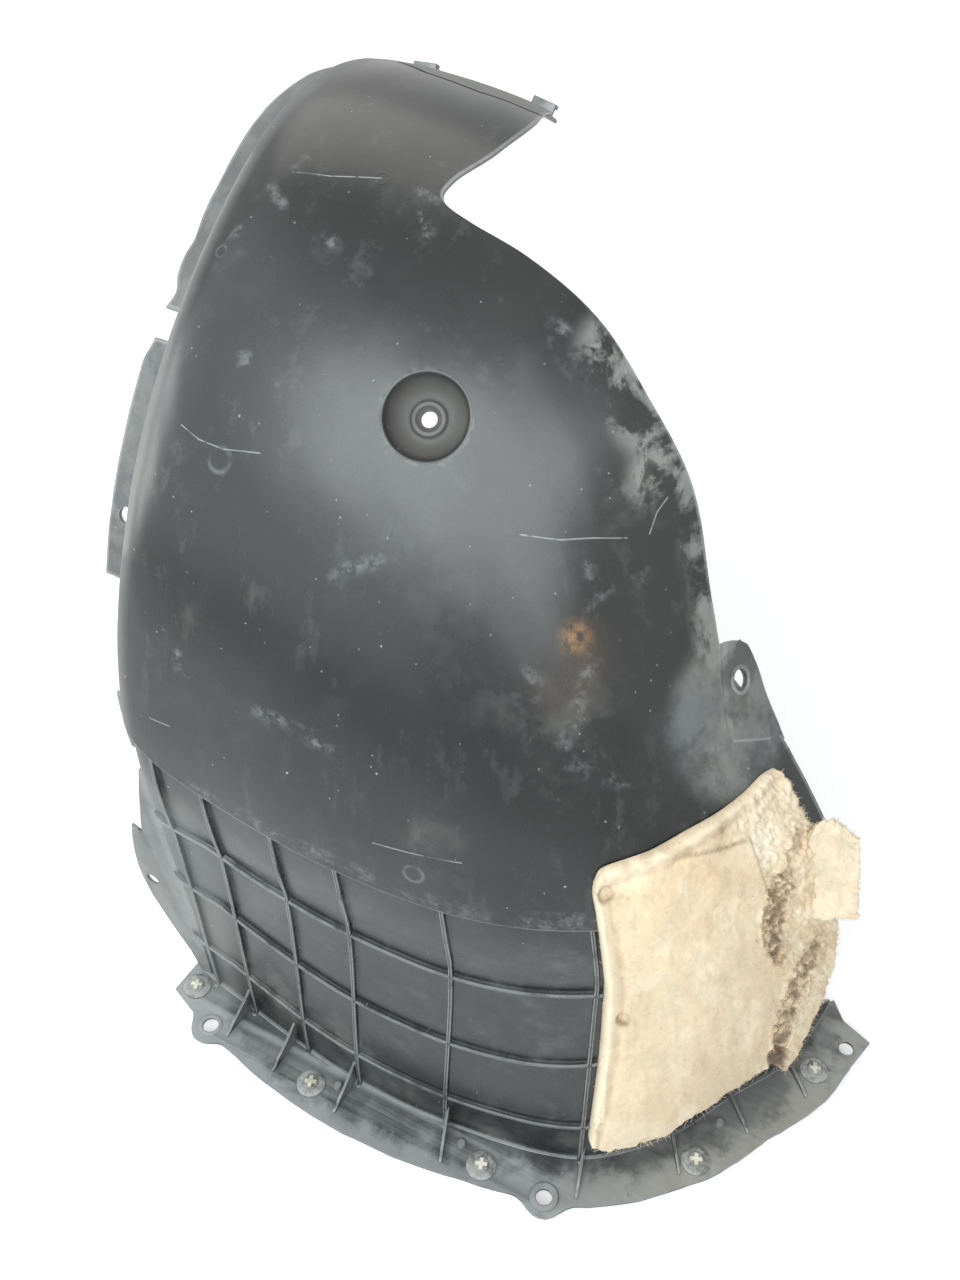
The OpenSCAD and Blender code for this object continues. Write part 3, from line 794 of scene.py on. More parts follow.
def ragged(n, scale, seed, size, shift=0, octaves=3):
    """Unevenness for an edge of n points, none at its ends."""
    k = np.linspace(0, 1, n)
    return (cloud(k * scale, k * 0 + shift, seed, octaves) - 0.5) * size * ease(k / 0.03) * ease((1 - k) / 0.03)


def pad_grid(rows, cols):
    """Stations, in mm above the axle too, and positions over the pad, with ragged edges."""
    left, right = even(PAD_LEFT, rows), even(PAD_RIGHT, rows)
    low, top = even(PAD_LOW, cols), even(PAD_TOP, cols)
    low[:, 0] += ragged(cols, 60, 3, 7)
    right[:, 1] += ragged(rows, 70, 5, 0.07)
    grid = between_edges(left, right, low, top)[0]
    return grid[..., 0], grid[..., 1]


CREAM, PALE, PEACH = np.array([0.86, 0.69, 0.465]), np.array([0.93, 0.79, 0.58]), np.array([0.80, 0.61, 0.40])
BROWN, FADED, MOSS = np.array([0.20, 0.135, 0.08]), np.array([0.80, 0.66, 0.475]), np.array([0.70, 0.62, 0.45])
BARE, STRAND_TONE_AND_HIGHLIGHT = np.array([0.97, 0.88, 0.70]), np.array([0.44, 0.40, 0.32])
BURNT, RUSTY = np.array([0.07, 0.045, 0.028]), np.array([0.36, 0.16, 0.05])
# blots on the felt: place, half width and height, colour, strength
BLOTS = [(mark(735, 365), 13, 17, BARE, 0.95), (mark(585, 318), 5.0, 8.5, BROWN * 2.2, 0.75),
         (mark(500, 1150), 17, 6, BROWN * 3.0, 0.35), (mark(655, 730), 4, 9, BROWN * 3.0, 0.35),
         (mark(560, 470), 26, 12, BROWN * 3.5, 0.34), (mark(500, 1100), 30, 8, BROWN * 3.8, 0.25)]


def mixed(col, c, k):
    """A colour moved toward c by k."""
    k = np.clip(k, 0, 1)[..., None]
    return col * (1 - k) + c * k


def pad_look(q, e_left, e_top, e_other):
    """Height above the backing and colour of the pad's face, from where each point is seen."""
    x, y = q[..., 0], q[..., 1]
    n1, n2, n3 = cloud(x / 9, y / 9, 11), cloud(x / 2.6, y / 2.6, 12), cloud(x / 24, y / 24, 13, 3)
    bead_at = np.minimum(e_left, e_top)
    h = 1.7 * peak(bead_at, 4.2, 3.4) - 0.9 * peak(bead_at, 11.5, 2.6)
    h = h + (n3 - 0.5) * 3.4 + (n1 - 0.5) * 0.9 + (n2 - 0.5) * 0.4
    h = h + 0.8 * (cloud((x + 0.5 * y) / 11, (y - 0.5 * x) / 48, 17, 3) - 0.5)
    col = CREAM * np.ones(x.shape + (1,))

    def tint(c, k):
        return mixed(col, c, k)

    col = tint(PEACH, ease((n3 - 0.40) / 0.25) * 0.8)
    col = tint(MOSS, 0.36 * ease((bead_at - 14) / 18) * ease((cloud(x / 13, y / 20, 51) - 0.50) / 0.16))
    col = tint(PALE, 0.60 * ease((cloud(x / 17, y / 26, 53) - 0.52) / 0.14))
    col = tint(PEACH * 0.86, 0.45 * ease((cloud(x / 4.5, y / 15, 55) - 0.55) / 0.15))
    col = col * (0.93 + 0.14 * n2)[..., None]
    # paler along the rolled rim: partly paler felt, partly a painted highlight on the roll
    col = tint(PALE, 0.85 * peak(bead_at, 3.5, 4.0))
    col = tint(BROWN * 2.6, 0.40 * peak(bead_at, 10.5, 1.8) * ease((n1 - 0.35) / 0.25))
    # the cover sheet, and the shadow under its free top edge
    over = inside(q, COVER)
    h = h + 1.4 * ease((over + 0.6 + 1.2 * (n2 - 0.5)) / 1.3)
    d, t = line_dist(q, COVER_TOP)
    shade = 0.88 * peak(d + (over < 0) * 0.8, 0, 1.1 + 1.3 * n1 * t)
    col = tint(BROWN * 1.5, shade * (0.30 + 0.70 * ease((t - 0.35) / 0.5)))
    col = tint(BROWN * 2.4, 0.45 * peak(d, 5, 5) * (over < 0) * ease((n1 - 0.42) / 0.2))
    # bare fuzzy felt above the cover and along its torn side
    bare = ease(-over / 3) * ease((x - mark(600, 0)[0]) / 12)
    h = h + bare * ((n2 - 0.5) * 2.4 + (n1 - 0.5) * 1.8)
    col = tint(PALE, bare * ease((n1 - 0.36) / 0.25) * 0.9)
    col = tint(BROWN * 2.5, bare * ease((n2 - 0.58) / 0.18) * 0.5)
    for (bx, by), wx, wy, c, k in BLOTS:
        blot = np.exp(-(((x - bx) / wx) ** 2 + ((y - by) / wy) ** 2))
        col = tint(c, k * blot * (0.45 + 0.9 * ease((n2 - 0.35) / 0.3)))
    for line, half, dark in ((TEAR_1, 8.6, 0.92), (TEAR_2, 7.6, 0.92), (TEAR_3, 5.5, 0.5)):
        d, t = line_dist(q, line)
        frayed = cloud(x / 4.2, y / 4.2, 23, 3)
        wide = half * (0.72 + 0.30 * np.sin(np.clip(t, 0.08, 0.95) * math.pi) + 1.1 * (frayed - 0.5))
        k = ease((wide - d) / 1.6)
        clump = cloud((x + y) / 3.0, (x - y) / 7.5, 21, 3)
        h = h + k * (3.6 * (clump - 0.55) + 1.6 * (n2 - 0.5) - 0.8)
        h = h + 1.5 * peak(d, wide + 0.5, 1.5) * (n2 > 0.42)
        # strands lighter where their clumps stand up: partly the fibres' grey tone, partly painted highlight
        strand_tone_and_highlight = (BROWN * (0.9 + 1.2 * ease((clump - 0.32) / 0.2))[..., None]
                  + STRAND_TONE_AND_HIGHLIGHT * ease((clump - 0.54) / 0.16)[..., None])
        col = tint(strand_tone_and_highlight * (0.8 + 0.4 * n2)[..., None], k * dark)
        col = tint(BROWN * 2.3, 0.5 * ease((wide + 5 - d) / 6) * ease((n1 - 0.5) / 0.15) * (1 - k))
    for (cx, cy), r in DIMPLES:
        d = np.hypot(x - cx, (y - cy) * 1.1)
        h = h - 2.2 * ease((r - d) / (0.55 * r)) + 0.6 * peak(d, 1.15 * r, 1.3) + 1.0 * peak(d, 0, 0.4 * r)
        # a brown ring round each dent, stronger on one side: partly stain, partly a painted shadow crescent
        turn = np.sin(np.arctan2(y - cy, x - cx) - 0.6)
        shadow_crescent = 0.45 + 0.55 * ease((turn + 0.8 * (n1 - 0.5) + 0.4) / 0.8)
        col = tint(BROWN * 1.3, 0.95 * peak(d, 0.82 * r, 1.3) * shadow_crescent)
    # a worn hole low on the right
    hole_x, hole_y = mark(778, 1130)
    k = ease((9.5 + 3 * (n1 - 0.5) - np.hypot(x - hole_x, (y - hole_y) * 0.9)) / 4)
    h = h - 4.5 * k
    col = tint(BURNT, k * 0.92)
    col = tint(RUSTY, k * ease((n2 - 0.52) / 0.18) * 0.8)
    # long soft drag marks toward the lower edge, and the pale edge itself
    low = ease((mark(0, 1180)[1] + 14 - y) / 22) * ease((y - mark(0, 1000)[1]) / 30)
    col = tint(CREAM * 0.80, 0.35 * low * ease((cloud(x / 22 + y / 60, y / 7, 31) - 0.45) / 0.2))
    col = tint(PALE, 0.60 * ease((y - mark(0, 1330)[1]) / 12) * ease((n3 - 0.2) / 0.3))
    edge = np.minimum(bead_at, e_other)
    return np.maximum(h, -3.0), col * (0.80 + 0.20 * ease(edge / 2.5))[..., None]


def paint(ob, *parts, rim=CREAM):
    """Stores each vertex's colour: of a sheet's face, then its back, then the rim."""
    colour = np.concatenate([np.reshape(part, (-1, 3)) for part in parts])
    rest = len(ob.data.vertices) - len(colour)
    colour = np.clip(np.concatenate([colour, np.broadcast_to(rim, (rest, 3))]), 0.01, 1)
    layer = ob.data.color_attributes.new("tint", "FLOAT_COLOR", "POINT")
    layer.data.foreach_set("color", np.insert(colour, 3, 1, 1).astype(np.float32).ravel())


def felt_pad():
    """The mat on the inboard side, with a beaded rim; also returns its face, colours and seen places."""
    rows, cols = 230, 160
    g, u = pad_grid(rows, cols)
    s = np.where(g > 0, g / DEG, g)
    base = skin(s, u, PAD_FACE)
    q = seen(base)
    e_left, e_low = run_length(base, 1), run_length(base, 0)
    e_right, e_top = e_left[:, -1:] - e_left, e_low[-1:] - e_low
    h, col = pad_look(q, e_left, e_top, np.minimum(e_right, e_low))
    d_in = 0.35 - RECESS * (1 - ease((s - step_line(6.2) + 0.8) / 1.3))
    e = np.minimum(np.minimum(e_left, e_top), np.minimum(e_right, e_low) * 1.6)
    roll = np.sqrt(np.clip(1 - (1 - np.clip(e / 5.0, 0, 1)) ** 2, 0, 1))
    outer = skin(s, u, d_in + np.maximum(0.9, (PAD_FACE + h - d_in) * (0.16 + 0.84 * roll)))
    bag = Bag()
    bag.sheet(outer, skin(s, u, d_in), push=0.25)
    ob = bag.build("felt_quilt", sharp=SOFT)
    paint(ob, col, col * 0.8, rim=CREAM * 0.8)
    return ob, (outer, col, q)


def flap():
    """The torn patch of the top layer, folded out past the liner's edge."""
    rows, cols = 80, 80
    corner = skin(9.0, 8.32, 3.0)
    z = unit(np.array([0.47, -0.88, 0.35]))
    out = unit(np.cross(np.cross(z, [0.88, 0.47, 0.0]), z))
    up = np.cross(z, out)

    def side(n, *pts):
        """n points along a line of marks, as they were seen on the flap's plane."""
        p = []
        for x, y in marks(*pts) / 1000:
            ray = AHEAD + RIGHT * x - UP * y
            p.append(EYE + ray * (((corner - EYE) @ z) / (ray @ z)))
        k = np.linspace(0, len(p) - 1, n)
        return np.stack([np.interp(k, np.arange(len(p)), line) for line in np.transpose(p)], -1)

    left = side(rows, (802, 645), (826, 550), (840, 470), (862, 400), (902, 330))
    right = side(rows, (1060, 622), (1064, 550), (1062, 480), (1066, 415), (1068, 345))
    top = side(cols, (902, 330), (935, 300), (990, 290), (1030, 322), (1068, 345))
    low = side(cols, (802, 645), (870, 634), (950, 647), (1005, 632), (1060, 622))
    for edge, way, seed, size in ((right, out, 8, 3.4), (low, up, 9, 3.2), (top, up, 10, 4.5)):
        edge += ragged(len(edge), 34, seed, size, seed, 4)[:, None] * way
    p, a, b = between_edges(left, right, low, top)
    x, y = a * 50, b * 60
    n1, n2, n3 = cloud(x / 7, y / 7, 41), cloud(x / 2.2, y / 2.2, 42), cloud(x / 14, y / 10, 47)
    lift = 6.6 * (a - 0.2) ** 2 + (cloud(x / 16, y / 16, 43) - 0.5) * 3 - 1.0
    face = p + z * (lift + (n2 - 0.5) * 0.5)[..., None]
    bag = Bag()
    bag.sheet(face, p + z * (lift - 1.6 + 0.3 * (n1 - 0.5))[..., None], push=0.3)
    ob = bag.build("felt_flap", sharp=SOFT)
    col = FADED + (n1 - 0.5)[..., None] * np.array([0.26, 0.25, 0.22]) + (n2 - 0.5)[..., None] * 0.16
    col = mixed(col, MOSS * 0.92, 0.6 * ease((n3 - 0.52) / 0.15))
    col = np.clip(mixed(col, BROWN * 2.4, 0.7 * ease((0.10 + 0.12 * n1 - a) / 0.08)), 0.05, 1)
    paint(ob, col, col * 0.85, rim=FADED)
    return ob, (face, col, z)


def fibres(pad, flap_):
    """Loose fibres along the tears, the pad's edges and the flap."""
    outer, col, q = pad
    rows, cols = q.shape[:2]
    near = 0.45 * peak(inside(q, COVER), 0, 2.5) * (q[..., 0] > mark(700, 0)[0])
    for line, half in ((TEAR_1, 11.0), (TEAR_2, 9.5)):
        near = np.maximum(near, peak(line_dist(q, line)[0], 0, half))
    for edge, k in ((near[:, -4:], 0.7), (near[:3], 0.8), (near[:, :3], 0.12), (near[-3:], 0.2)):
        np.maximum(edge, k, out=edge)
    near += 0.012
    near[:, 0] = near[-1, :] = 0
    pick = rng.choice(rows * cols, PAD_FIBRES, replace=False, p=(near / near.sum()).ravel())
    r, c = np.unravel_index(pick, near.shape)
    r0, c0 = np.clip(r, 1, rows - 2), np.clip(c, 1, cols - 2)
    nrm = unit(np.cross(outer[r0, c0 + 1] - outer[r0, c0 - 1], outer[r0 + 1, c0] - outer[r0 - 1, c0]))
    size = np.where(r < 3, rng.uniform(1.5, 5.5, len(r)), rng.uniform(1.2, 3.6, len(r)))
    sets = [(outer[r, c] - nrm * 0.25, nrm, col[r, c] * rng.uniform(0.8, 1.35, (len(r), 1)), size)]
    face, fcol, z = flap_
    rr, cc = face.shape[:2]
    ring = [(i, cc - 1) for i in range(rr)] + [(0, i) for i in range(cc)] + [(rr - 1, i) for i in range(cc)]
    r, c = np.array(ring)[rng.integers(0, len(ring), FLAP_FIBRES)].T
    away = unit(face[r, c] - face.reshape(-1, 3).mean(0))
    lean = unit(away + 0.5 * z * rng.normal(size=(len(r), 1)))
    sets.append((face[r, c] - z * 0.8, lean, fcol[r, c], rng.uniform(1.0, 3.2, len(r))))
    bag, colours = Bag(), []
    t, rad = np.array([0, 0.35, 0.7, 1.0]), np.array([0.16, 0.14, 0.10, 0.05])
    sides = [(i * 3 + m, i * 3 + (m + 1) % 3, i * 3 + 3 + (m + 1) % 3, i * 3 + 3 + m)
             for i in range(3) for m in range(3)]
    for base, n, colour, size in sets:
        side = unit(np.cross(n, rng.normal(size=n.shape)))
        lean = unit(n * rng.uniform(0.25, 1.0, (len(n), 1)) + side * rng.uniform(0.2, 1.1, (len(n), 1)))
        curl = unit(np.cross(lean, rng.normal(size=n.shape)))
        for k in range(len(n)):
            path = base[k] + size[k] * (t[:, None] * lean[k] + 0.35 * (t ** 2)[:, None] * curl[k])
            e1 = unit(np.cross(lean[k], curl[k] + 0.01))
            e2 = np.cross(lean[k], e1)
            corners = [path + rad[:, None] * (math.cos(w) * e1 + math.sin(w) * e2) for w in (0, 2.094, 4.189)]
            bag.add(np.stack(corners, 1), sides + [(2, 1, 0), (9, 10, 11)])
            colours.append(np.broadcast_to(colour[k], (12, 3)))
    ob = bag.build("felt_fibres", sharp=SOFT)
    paint(ob, np.concatenate(colours))
    return ob


quilt, pad_data = felt_pad()
patch, flap_data = flap()
fuzz = fibres(pad_data, flap_data)
for o in (quilt, patch, fuzz):
    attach(o, "root")
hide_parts("felt_pad")
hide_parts("felt_pad")


# materials
class Nodes:
    """Short calls for building a material's nodes. Places and widths are in metres."""

    def __init__(self, name):
        self.m = bpy.data.materials.new(name)
        self.m.use_nodes = True
        self.t = self.m.node_tree
        self.bsdf = self.t.nodes["Principled BSDF"]
        self.obj = self.t.nodes.new("ShaderNodeTexCoord").outputs["Object"]
        self.x, self.y, self.z = self.parts(self.obj)
        self.nz = self.parts(self.t.nodes.new("ShaderNodeNewGeometry").outputs["Normal"])[2]

    def parts(self, vector):
        n = self.t.nodes.new("ShaderNodeSeparateXYZ")
        self.link(vector, n.inputs[0])
        return n.outputs[0], n.outputs[1], n.outputs[2]

    def link(self, a, socket):
        if isinstance(a, bpy.types.NodeSocket):
            self.t.links.new(a, socket)
        elif socket.type == "RGBA":
            socket.default_value = (*a, 1)
        else:
            socket.default_value = a

    def math(self, op, a, b=0.0, clamp=False):
        n = self.t.nodes.new("ShaderNodeMath")
        n.operation, n.use_clamp = op, clamp
        self.link(a, n.inputs[0])
        self.link(b, n.inputs[1])
        return n.outputs[0]

    def chain(self, op, *values):
        out = values[0]
        for v in values[1:]:
            out = self.math(op, out, v)
        return out

    def mul(self, *values):
        return self.chain("MULTIPLY", *values)

    def add(self, *values):
        return self.chain("ADD", *values)

    def most(self, *values):
        return self.chain("MAXIMUM", *values)

    def less(self, k):
        return self.math("SUBTRACT", 1.0, k)

    def vector(self, op, *values, scale=None, out="Vector"):
        n = self.t.nodes.new("ShaderNodeVectorMath")
        n.operation = op
        for v, socket in zip(values, n.inputs):
            self.link(v, socket)
        if scale is not None:
            self.link(scale, n.inputs["Scale"])
        return n.outputs[out]

    def step(self, v, a, b):
        """0 at a, 1 at b, smooth between."""
        n = self.t.nodes.new("ShaderNodeMapRange")
        n.interpolation_type = "SMOOTHSTEP"
        flip = a > b
        lo, hi = (b, a) if flip else (a, b)
        for value, socket in zip((v, lo, hi, float(flip), float(not flip)), n.inputs):
            self.link(value, socket)
        return n.outputs[0]

    def noise(self, scale, detail=4.0, rough=0.55, stretch=None, warp=0.0):
        n = self.t.nodes.new("ShaderNodeTexNoise")
        place = self.obj
        if stretch:
            mapping = self.t.nodes.new("ShaderNodeMapping")
            self.link(self.obj, mapping.inputs[0])
            mapping.inputs["Scale"].default_value = stretch
            place = mapping.outputs[0]
        self.link(place, n.inputs["Vector"])
        for k, v in (("Scale", scale), ("Detail", detail), ("Roughness", rough), ("Distortion", warp)):
            n.inputs[k].default_value = v
        return n.outputs["Fac"]

    def specks(self, scale, big, small, few):
        """Small spots, 1 in their middle, in as many cells as lie above few."""
        n, pick = self.t.nodes.new("ShaderNodeTexVoronoi"), self.t.nodes.new("ShaderNodeSeparateColor")
        self.link(self.obj, n.inputs["Vector"])
        n.inputs["Scale"].default_value = scale
        self.link(n.outputs["Color"], pick.inputs[0])
        return self.mul(self.step(n.outputs["Distance"], big, small),
                        self.step(pick.outputs[0], few, few + 0.02))

    def blend(self, k, a, b):
        n = self.t.nodes.new("ShaderNodeMix")
        n.data_type = "RGBA"
        for v, socket in ((k, n.inputs[0]), (a, n.inputs[6]), (b, n.inputs[7])):
            self.link(v, socket)
        return n.outputs[2]

    def near(self, p, r0, r1, scale=(1, 1, 1)):
        """1 within r0 of a point, 0 beyond r1."""
        away = self.vector("MULTIPLY", self.vector("SUBTRACT", self.obj, p), scale)
        return self.step(self.vector("LENGTH", away, out="Value"), r1, r0)

    def stroke(self, a, b, w):
        """A line from a to b, w wide, for scratches and painted shade lines alike."""
        d = Vector(b) - Vector(a)
        away = self.vector("SUBTRACT", self.obj, a)
        along = self.vector("DOT_PRODUCT", away, d / d.length_squared, out="Value")
        nearest = self.vector("SCALE", d, scale=self.math("MULTIPLY", along, 1.0, clamp=True))
        return self.step(self.vector("DISTANCE", away, nearest, out="Value"), w, w * 0.35)

    def trail(self, paths, w):
        """Lines along lists of (station, position): scratches, cracks and a painted shade line."""
        return self.most(*(self.stroke(at(*p), at(*q), w) for path in paths for p, q in zip(path, path[1:])))

    def attribute(self, name):
        node = self.t.nodes.new("ShaderNodeAttribute")
        node.attribute_name = name
        return node.outputs["Fac"]

    def relief(self, height, strength, distance):
        n = self.t.nodes.new("ShaderNodeBump")
        n.inputs["Strength"].default_value = strength
        n.inputs["Distance"].default_value = distance
        self.link(height, n.inputs["Height"])
        return n.outputs[0]

    def done(self, colour, rough, normal=None, **more):
        self.link(colour, self.bsdf.inputs["Base Color"])
        self.link(rough, self.bsdf.inputs["Roughness"])
        if normal is not None:
            self.link(normal, self.bsdf.inputs["Normal"])
        for k, v in more.items():
            self.link(v, self.bsdf.inputs[k.replace("_", " ")])
        return self.m


def at(s, u):
    """A place on the skin in the frame, metres."""
    return tuple(float(v) for v in (skin(s, u) - ORIGIN) / 1000)


def from_foot(n):
    """How far out on the flange: 0 at the wall's foot, 1 at 45 mm, by a quadratic in x and y."""
    u, k = np.meshgrid(np.linspace(0.3, 9.8, 90), np.linspace(0, 1, 5))
    x, y = ((foot(u.ravel(), 45 * k.ravel()) - ORIGIN[:2]) / 1000).T
    fit = np.linalg.lstsq(np.stack([x * 0 + 1, x, y, x * x, x * y, y * y], 1), k.ravel(), rcond=None)[0]
    terms = (n.x, n.y, n.mul(n.x, n.x), n.mul(n.x, n.y), n.mul(n.y, n.y))
    return n.add(float(fit[0]), *(n.mul(term, float(c)) for term, c in zip(terms, fit[1:])))


PLASTIC = (0.0125, 0.0145, 0.0140), (0.0215, 0.0232, 0.0222)
DUST = (0.21, 0.225, 0.225), (0.30, 0.30, 0.27)
GRIT = (0.29, 0.305, 0.307), (0.36, 0.34, 0.29)
GREY, BRIM_GREY = (0.20, 0.21, 0.205), (0.20, 0.205, 0.195)
EDGE_GREY, SPECK = (0.34, 0.35, 0.34), (0.42, 0.42, 0.40)
DISH_TONE, RUST, RUST_HALO = (0.125, 0.118, 0.106), (0.33, 0.18, 0.075), (0.115, 0.082, 0.050)


def shell_plastic():
    n = Nodes("shell_plastic")
    broad = n.noise(7, 3)
    mottle = n.noise(38, 7, 0.65)
    grain = n.noise(160, 5, 0.6)
    streaky = n.noise(46, 7, 0.7, (1, 0.8, 0.35), 0.8)
    colour = n.blend(n.step(broad, 0.35, 0.7), *PLASTIC)
    # dust along the free edge, thick in patches
    torn = n.step(n.add(n.mul(streaky, 0.6), n.mul(mottle, 0.4)), 0.45, 0.55)
    edge = n.mul(n.attribute("edge_dust"), torn, n.add(0.45, n.mul(grain, 0.7)))
    spots = n.mul(n.attribute("dust_spots"), n.step(mottle, 0.50, 0.60), 0.55)
    # a wiped film over the panel, more to the right, and over the ribbed wall
    patch = n.mul(n.step(n.noise(15, 6, 0.6, warp=0.6), 0.50, 0.66), n.step(mottle, 0.40, 0.62))
    smear = n.mul(n.step(n.noise(60, 5, 0.7, (1, 1, 0.16)), 0.54, 0.74), 0.12)
    wiped = n.add(n.mul(patch, n.add(n.mul(n.step(n.x, -0.17, -0.02), 0.10), 0.05)), smear)
    cloudy = n.mul(n.step(n.noise(17, 6, 0.68), 0.46, 0.66), n.step(mottle, 0.34, 0.60), 0.26)
    film = n.mul(n.step(n.z, 0.245, 0.215), n.add(0.01, cloudy, n.mul(n.step(n.x, -0.248, -0.270), 0.42)))
    # a lighter band along the crest's rounded edge: partly dust, partly a painted highlight of the rim
    crest = n.mul(n.step(n.x, -0.291, -0.302), n.step(n.z, 0.19, 0.26), n.add(0.16, n.mul(mottle, 0.45)))
    tab = n.mul(n.near(at(33, 7.8), 0.035, 0.055), n.step(n.x, -0.012, 0.0),
                n.add(n.mul(n.step(mottle, 0.38, 0.6), 0.45), 0.25))
    amount = n.math("MINIMUM", n.add(edge, spots, wiped, film, tab, crest), 0.85)
    colour = n.blend(amount, colour, n.blend(n.step(n.noise(11, 3), 0.4, 0.65), *DUST))
    # grit that lies on the flange, most toward its rim, with a wet patch; the grit thins next to the wall's
    # foot, which also leaves a darker strip there as painted shade
    flat = n.mul(n.step(n.nz, 0.55, 0.9), n.step(n.z, 0.012, 0.006))
    pools = n.mul(n.step(n.noise(13, 4, 0.6), 0.40, 0.60), n.step(n.noise(42, 7, 0.72), 0.36, 0.54))
    outer = n.step(n.add(from_foot(n), n.mul(n.noise(27, 7, 0.72), 1.5)), 0.95, 1.30)
    wet = n.mul(n.step(n.noise(24, 6, 0.7), 0.56, 0.66), n.step(n.x, -0.10, 0.0))
    deep = n.add(0.03, n.mul(outer, 0.58), n.mul(pools, 0.16), n.mul(n.step(n.x, -0.05, -0.20), 0.12))
    flange_grit_and_shade = n.mul(flat, deep, n.less(n.mul(wet, 0.75)))
    colour = n.blend(flange_grit_and_shade, colour, n.blend(n.step(n.x, -0.05, 0.13), *GRIT))
    brim = n.mul(n.step(n.x, -0.309, -0.315), n.add(n.mul(n.step(n.noise(55, 6, 0.7), 0.42, 0.60), 0.55), 0.12))
    colour = n.blend(brim, colour, BRIM_GREY)
    # the dish's matt inside, dusty corners, and edges that stand out made lighter: partly rubbed wear, partly
    # painted highlight
    stand, middle = n.attribute("stand"), at(DISH_S, DISH_U)
    dish_at = n.near(middle, 0.019, 0.0225)
    colour = n.blend(n.mul(dish_at, n.add(0.22, n.mul(mottle, 0.5))), colour, DISH_TONE)
    corner = n.mul(n.step(stand, -0.04, -0.16), n.step(mottle, 0.36, 0.60))
    colour = n.blend(n.mul(corner, 0.22), colour, GREY)
    # painted highlight on convex edges, partly rubbed wear
    ridge_wear_and_highlight = n.mul(n.step(stand, 0.04, 0.16), n.step(mottle, 0.26, 0.52),
                  n.less(n.mul(n.near(middle, 0.026, 0.030), 0.72)))
    colour = n.blend(n.mul(ridge_wear_and_highlight, 0.58), colour, EDGE_GREY)
    for scale, big, small, few, k in ((95, 0.10, 0.04, 0.915, 0.8), (230, 0.16, 0.06, 0.93, 0.6)):
        colour = n.blend(n.mul(n.specks(scale, big, small, few), k), colour, SPECK)
    # what was rubbed and scratched from outside, which the back doesn't show, together with painted light and
    # shade: a painted crease near the top end and painted highlights along the crest and the step
    outside = n.attribute("outside")
    broken = n.step(n.noise(240, 3), 0.30, 0.50)
    patchy = n.mul(n.step(n.noise(130, 6, 0.75), 0.44, 0.60), n.step(mottle, 0.35, 0.60))
    end_lit_band, end_shade_line = n.attribute("end_lit_band"), n.trail(END_SHADE_LINE, 0.0021)
    halo = n.mul(n.near(at(35.5, 5.98), 0.006, 0.036, (1.35, 1, 0.75)), n.step(mottle, 0.30, 0.60))
    rub = n.mul(n.near(at(37.9, 6.0), 0.001, 0.0125, (1, 1, 0.85)), n.step(n.noise(150, 5, 0.7), 0.36, 0.62))
    rings = n.most(*(n.math("SUBTRACT", n.near(p, r * 0.80, r * 1.08), n.near(p, r * 0.55, r * 0.85))
                     for p, r in ((at(s, u), r) for s, u, r in ROUND_MARKS)))
    for mask, tone in ((n.mul(halo, 0.38), RUST_HALO),
                       (n.mul(rub, 0.85), RUST),
                       (n.mul(n.trail(SCRATCHES, 0.00055), broken, 0.7), (0.36, 0.37, 0.36)),
                       (n.mul(n.attribute("scuffs"), patchy, 0.6), (0.22, 0.23, 0.225)),
                       (n.mul(n.trail(CRACKS, 0.0010), broken, 0.5), (0.006, 0.006, 0.006)),
                       # the painted crease near the top end: its band of painted light, then its line of
                       # painted shade
                       (n.mul(end_lit_band, 0.75), (0.20, 0.205, 0.19)),
                       (end_shade_line, (0.003, 0.003, 0.003)),
                       # painted highlight along the crest, partly dust
                       (n.mul(n.attribute("crest_dust_and_highlight"), 0.5), (0.25, 0.245, 0.225)),
                       # painted highlight along the step's lip, partly dust
                       (n.mul(n.attribute("step_dust_and_highlight"), patchy, 0.6), (0.20, 0.21, 0.20)),
                       (n.mul(rings, n.step(mottle, 0.40, 0.60), 0.5), GREY)):
        colour = n.blend(n.mul(mask, outside), colour, tone)
    worn = n.most(amount, n.most(flange_grit_and_shade, brim))
    rough = n.add(0.17, n.mul(broad, 0.08), n.mul(mottle, 0.08), n.mul(grain, 0.04), n.mul(worn, 0.5),
                  n.mul(dish_at, 0.3), n.mul(end_shade_line, outside, 0.6), n.mul(end_lit_band, outside, 0.3))
    height = n.add(n.mul(grain, 0.4), n.mul(mottle, 0.6), n.mul(flange_grit_and_shade, 0.8), n.mul(rings, 0.5))
    return n.done(colour, rough, n.relief(height, 0.16, 0.0006), Specular_IOR_Level=0.5)


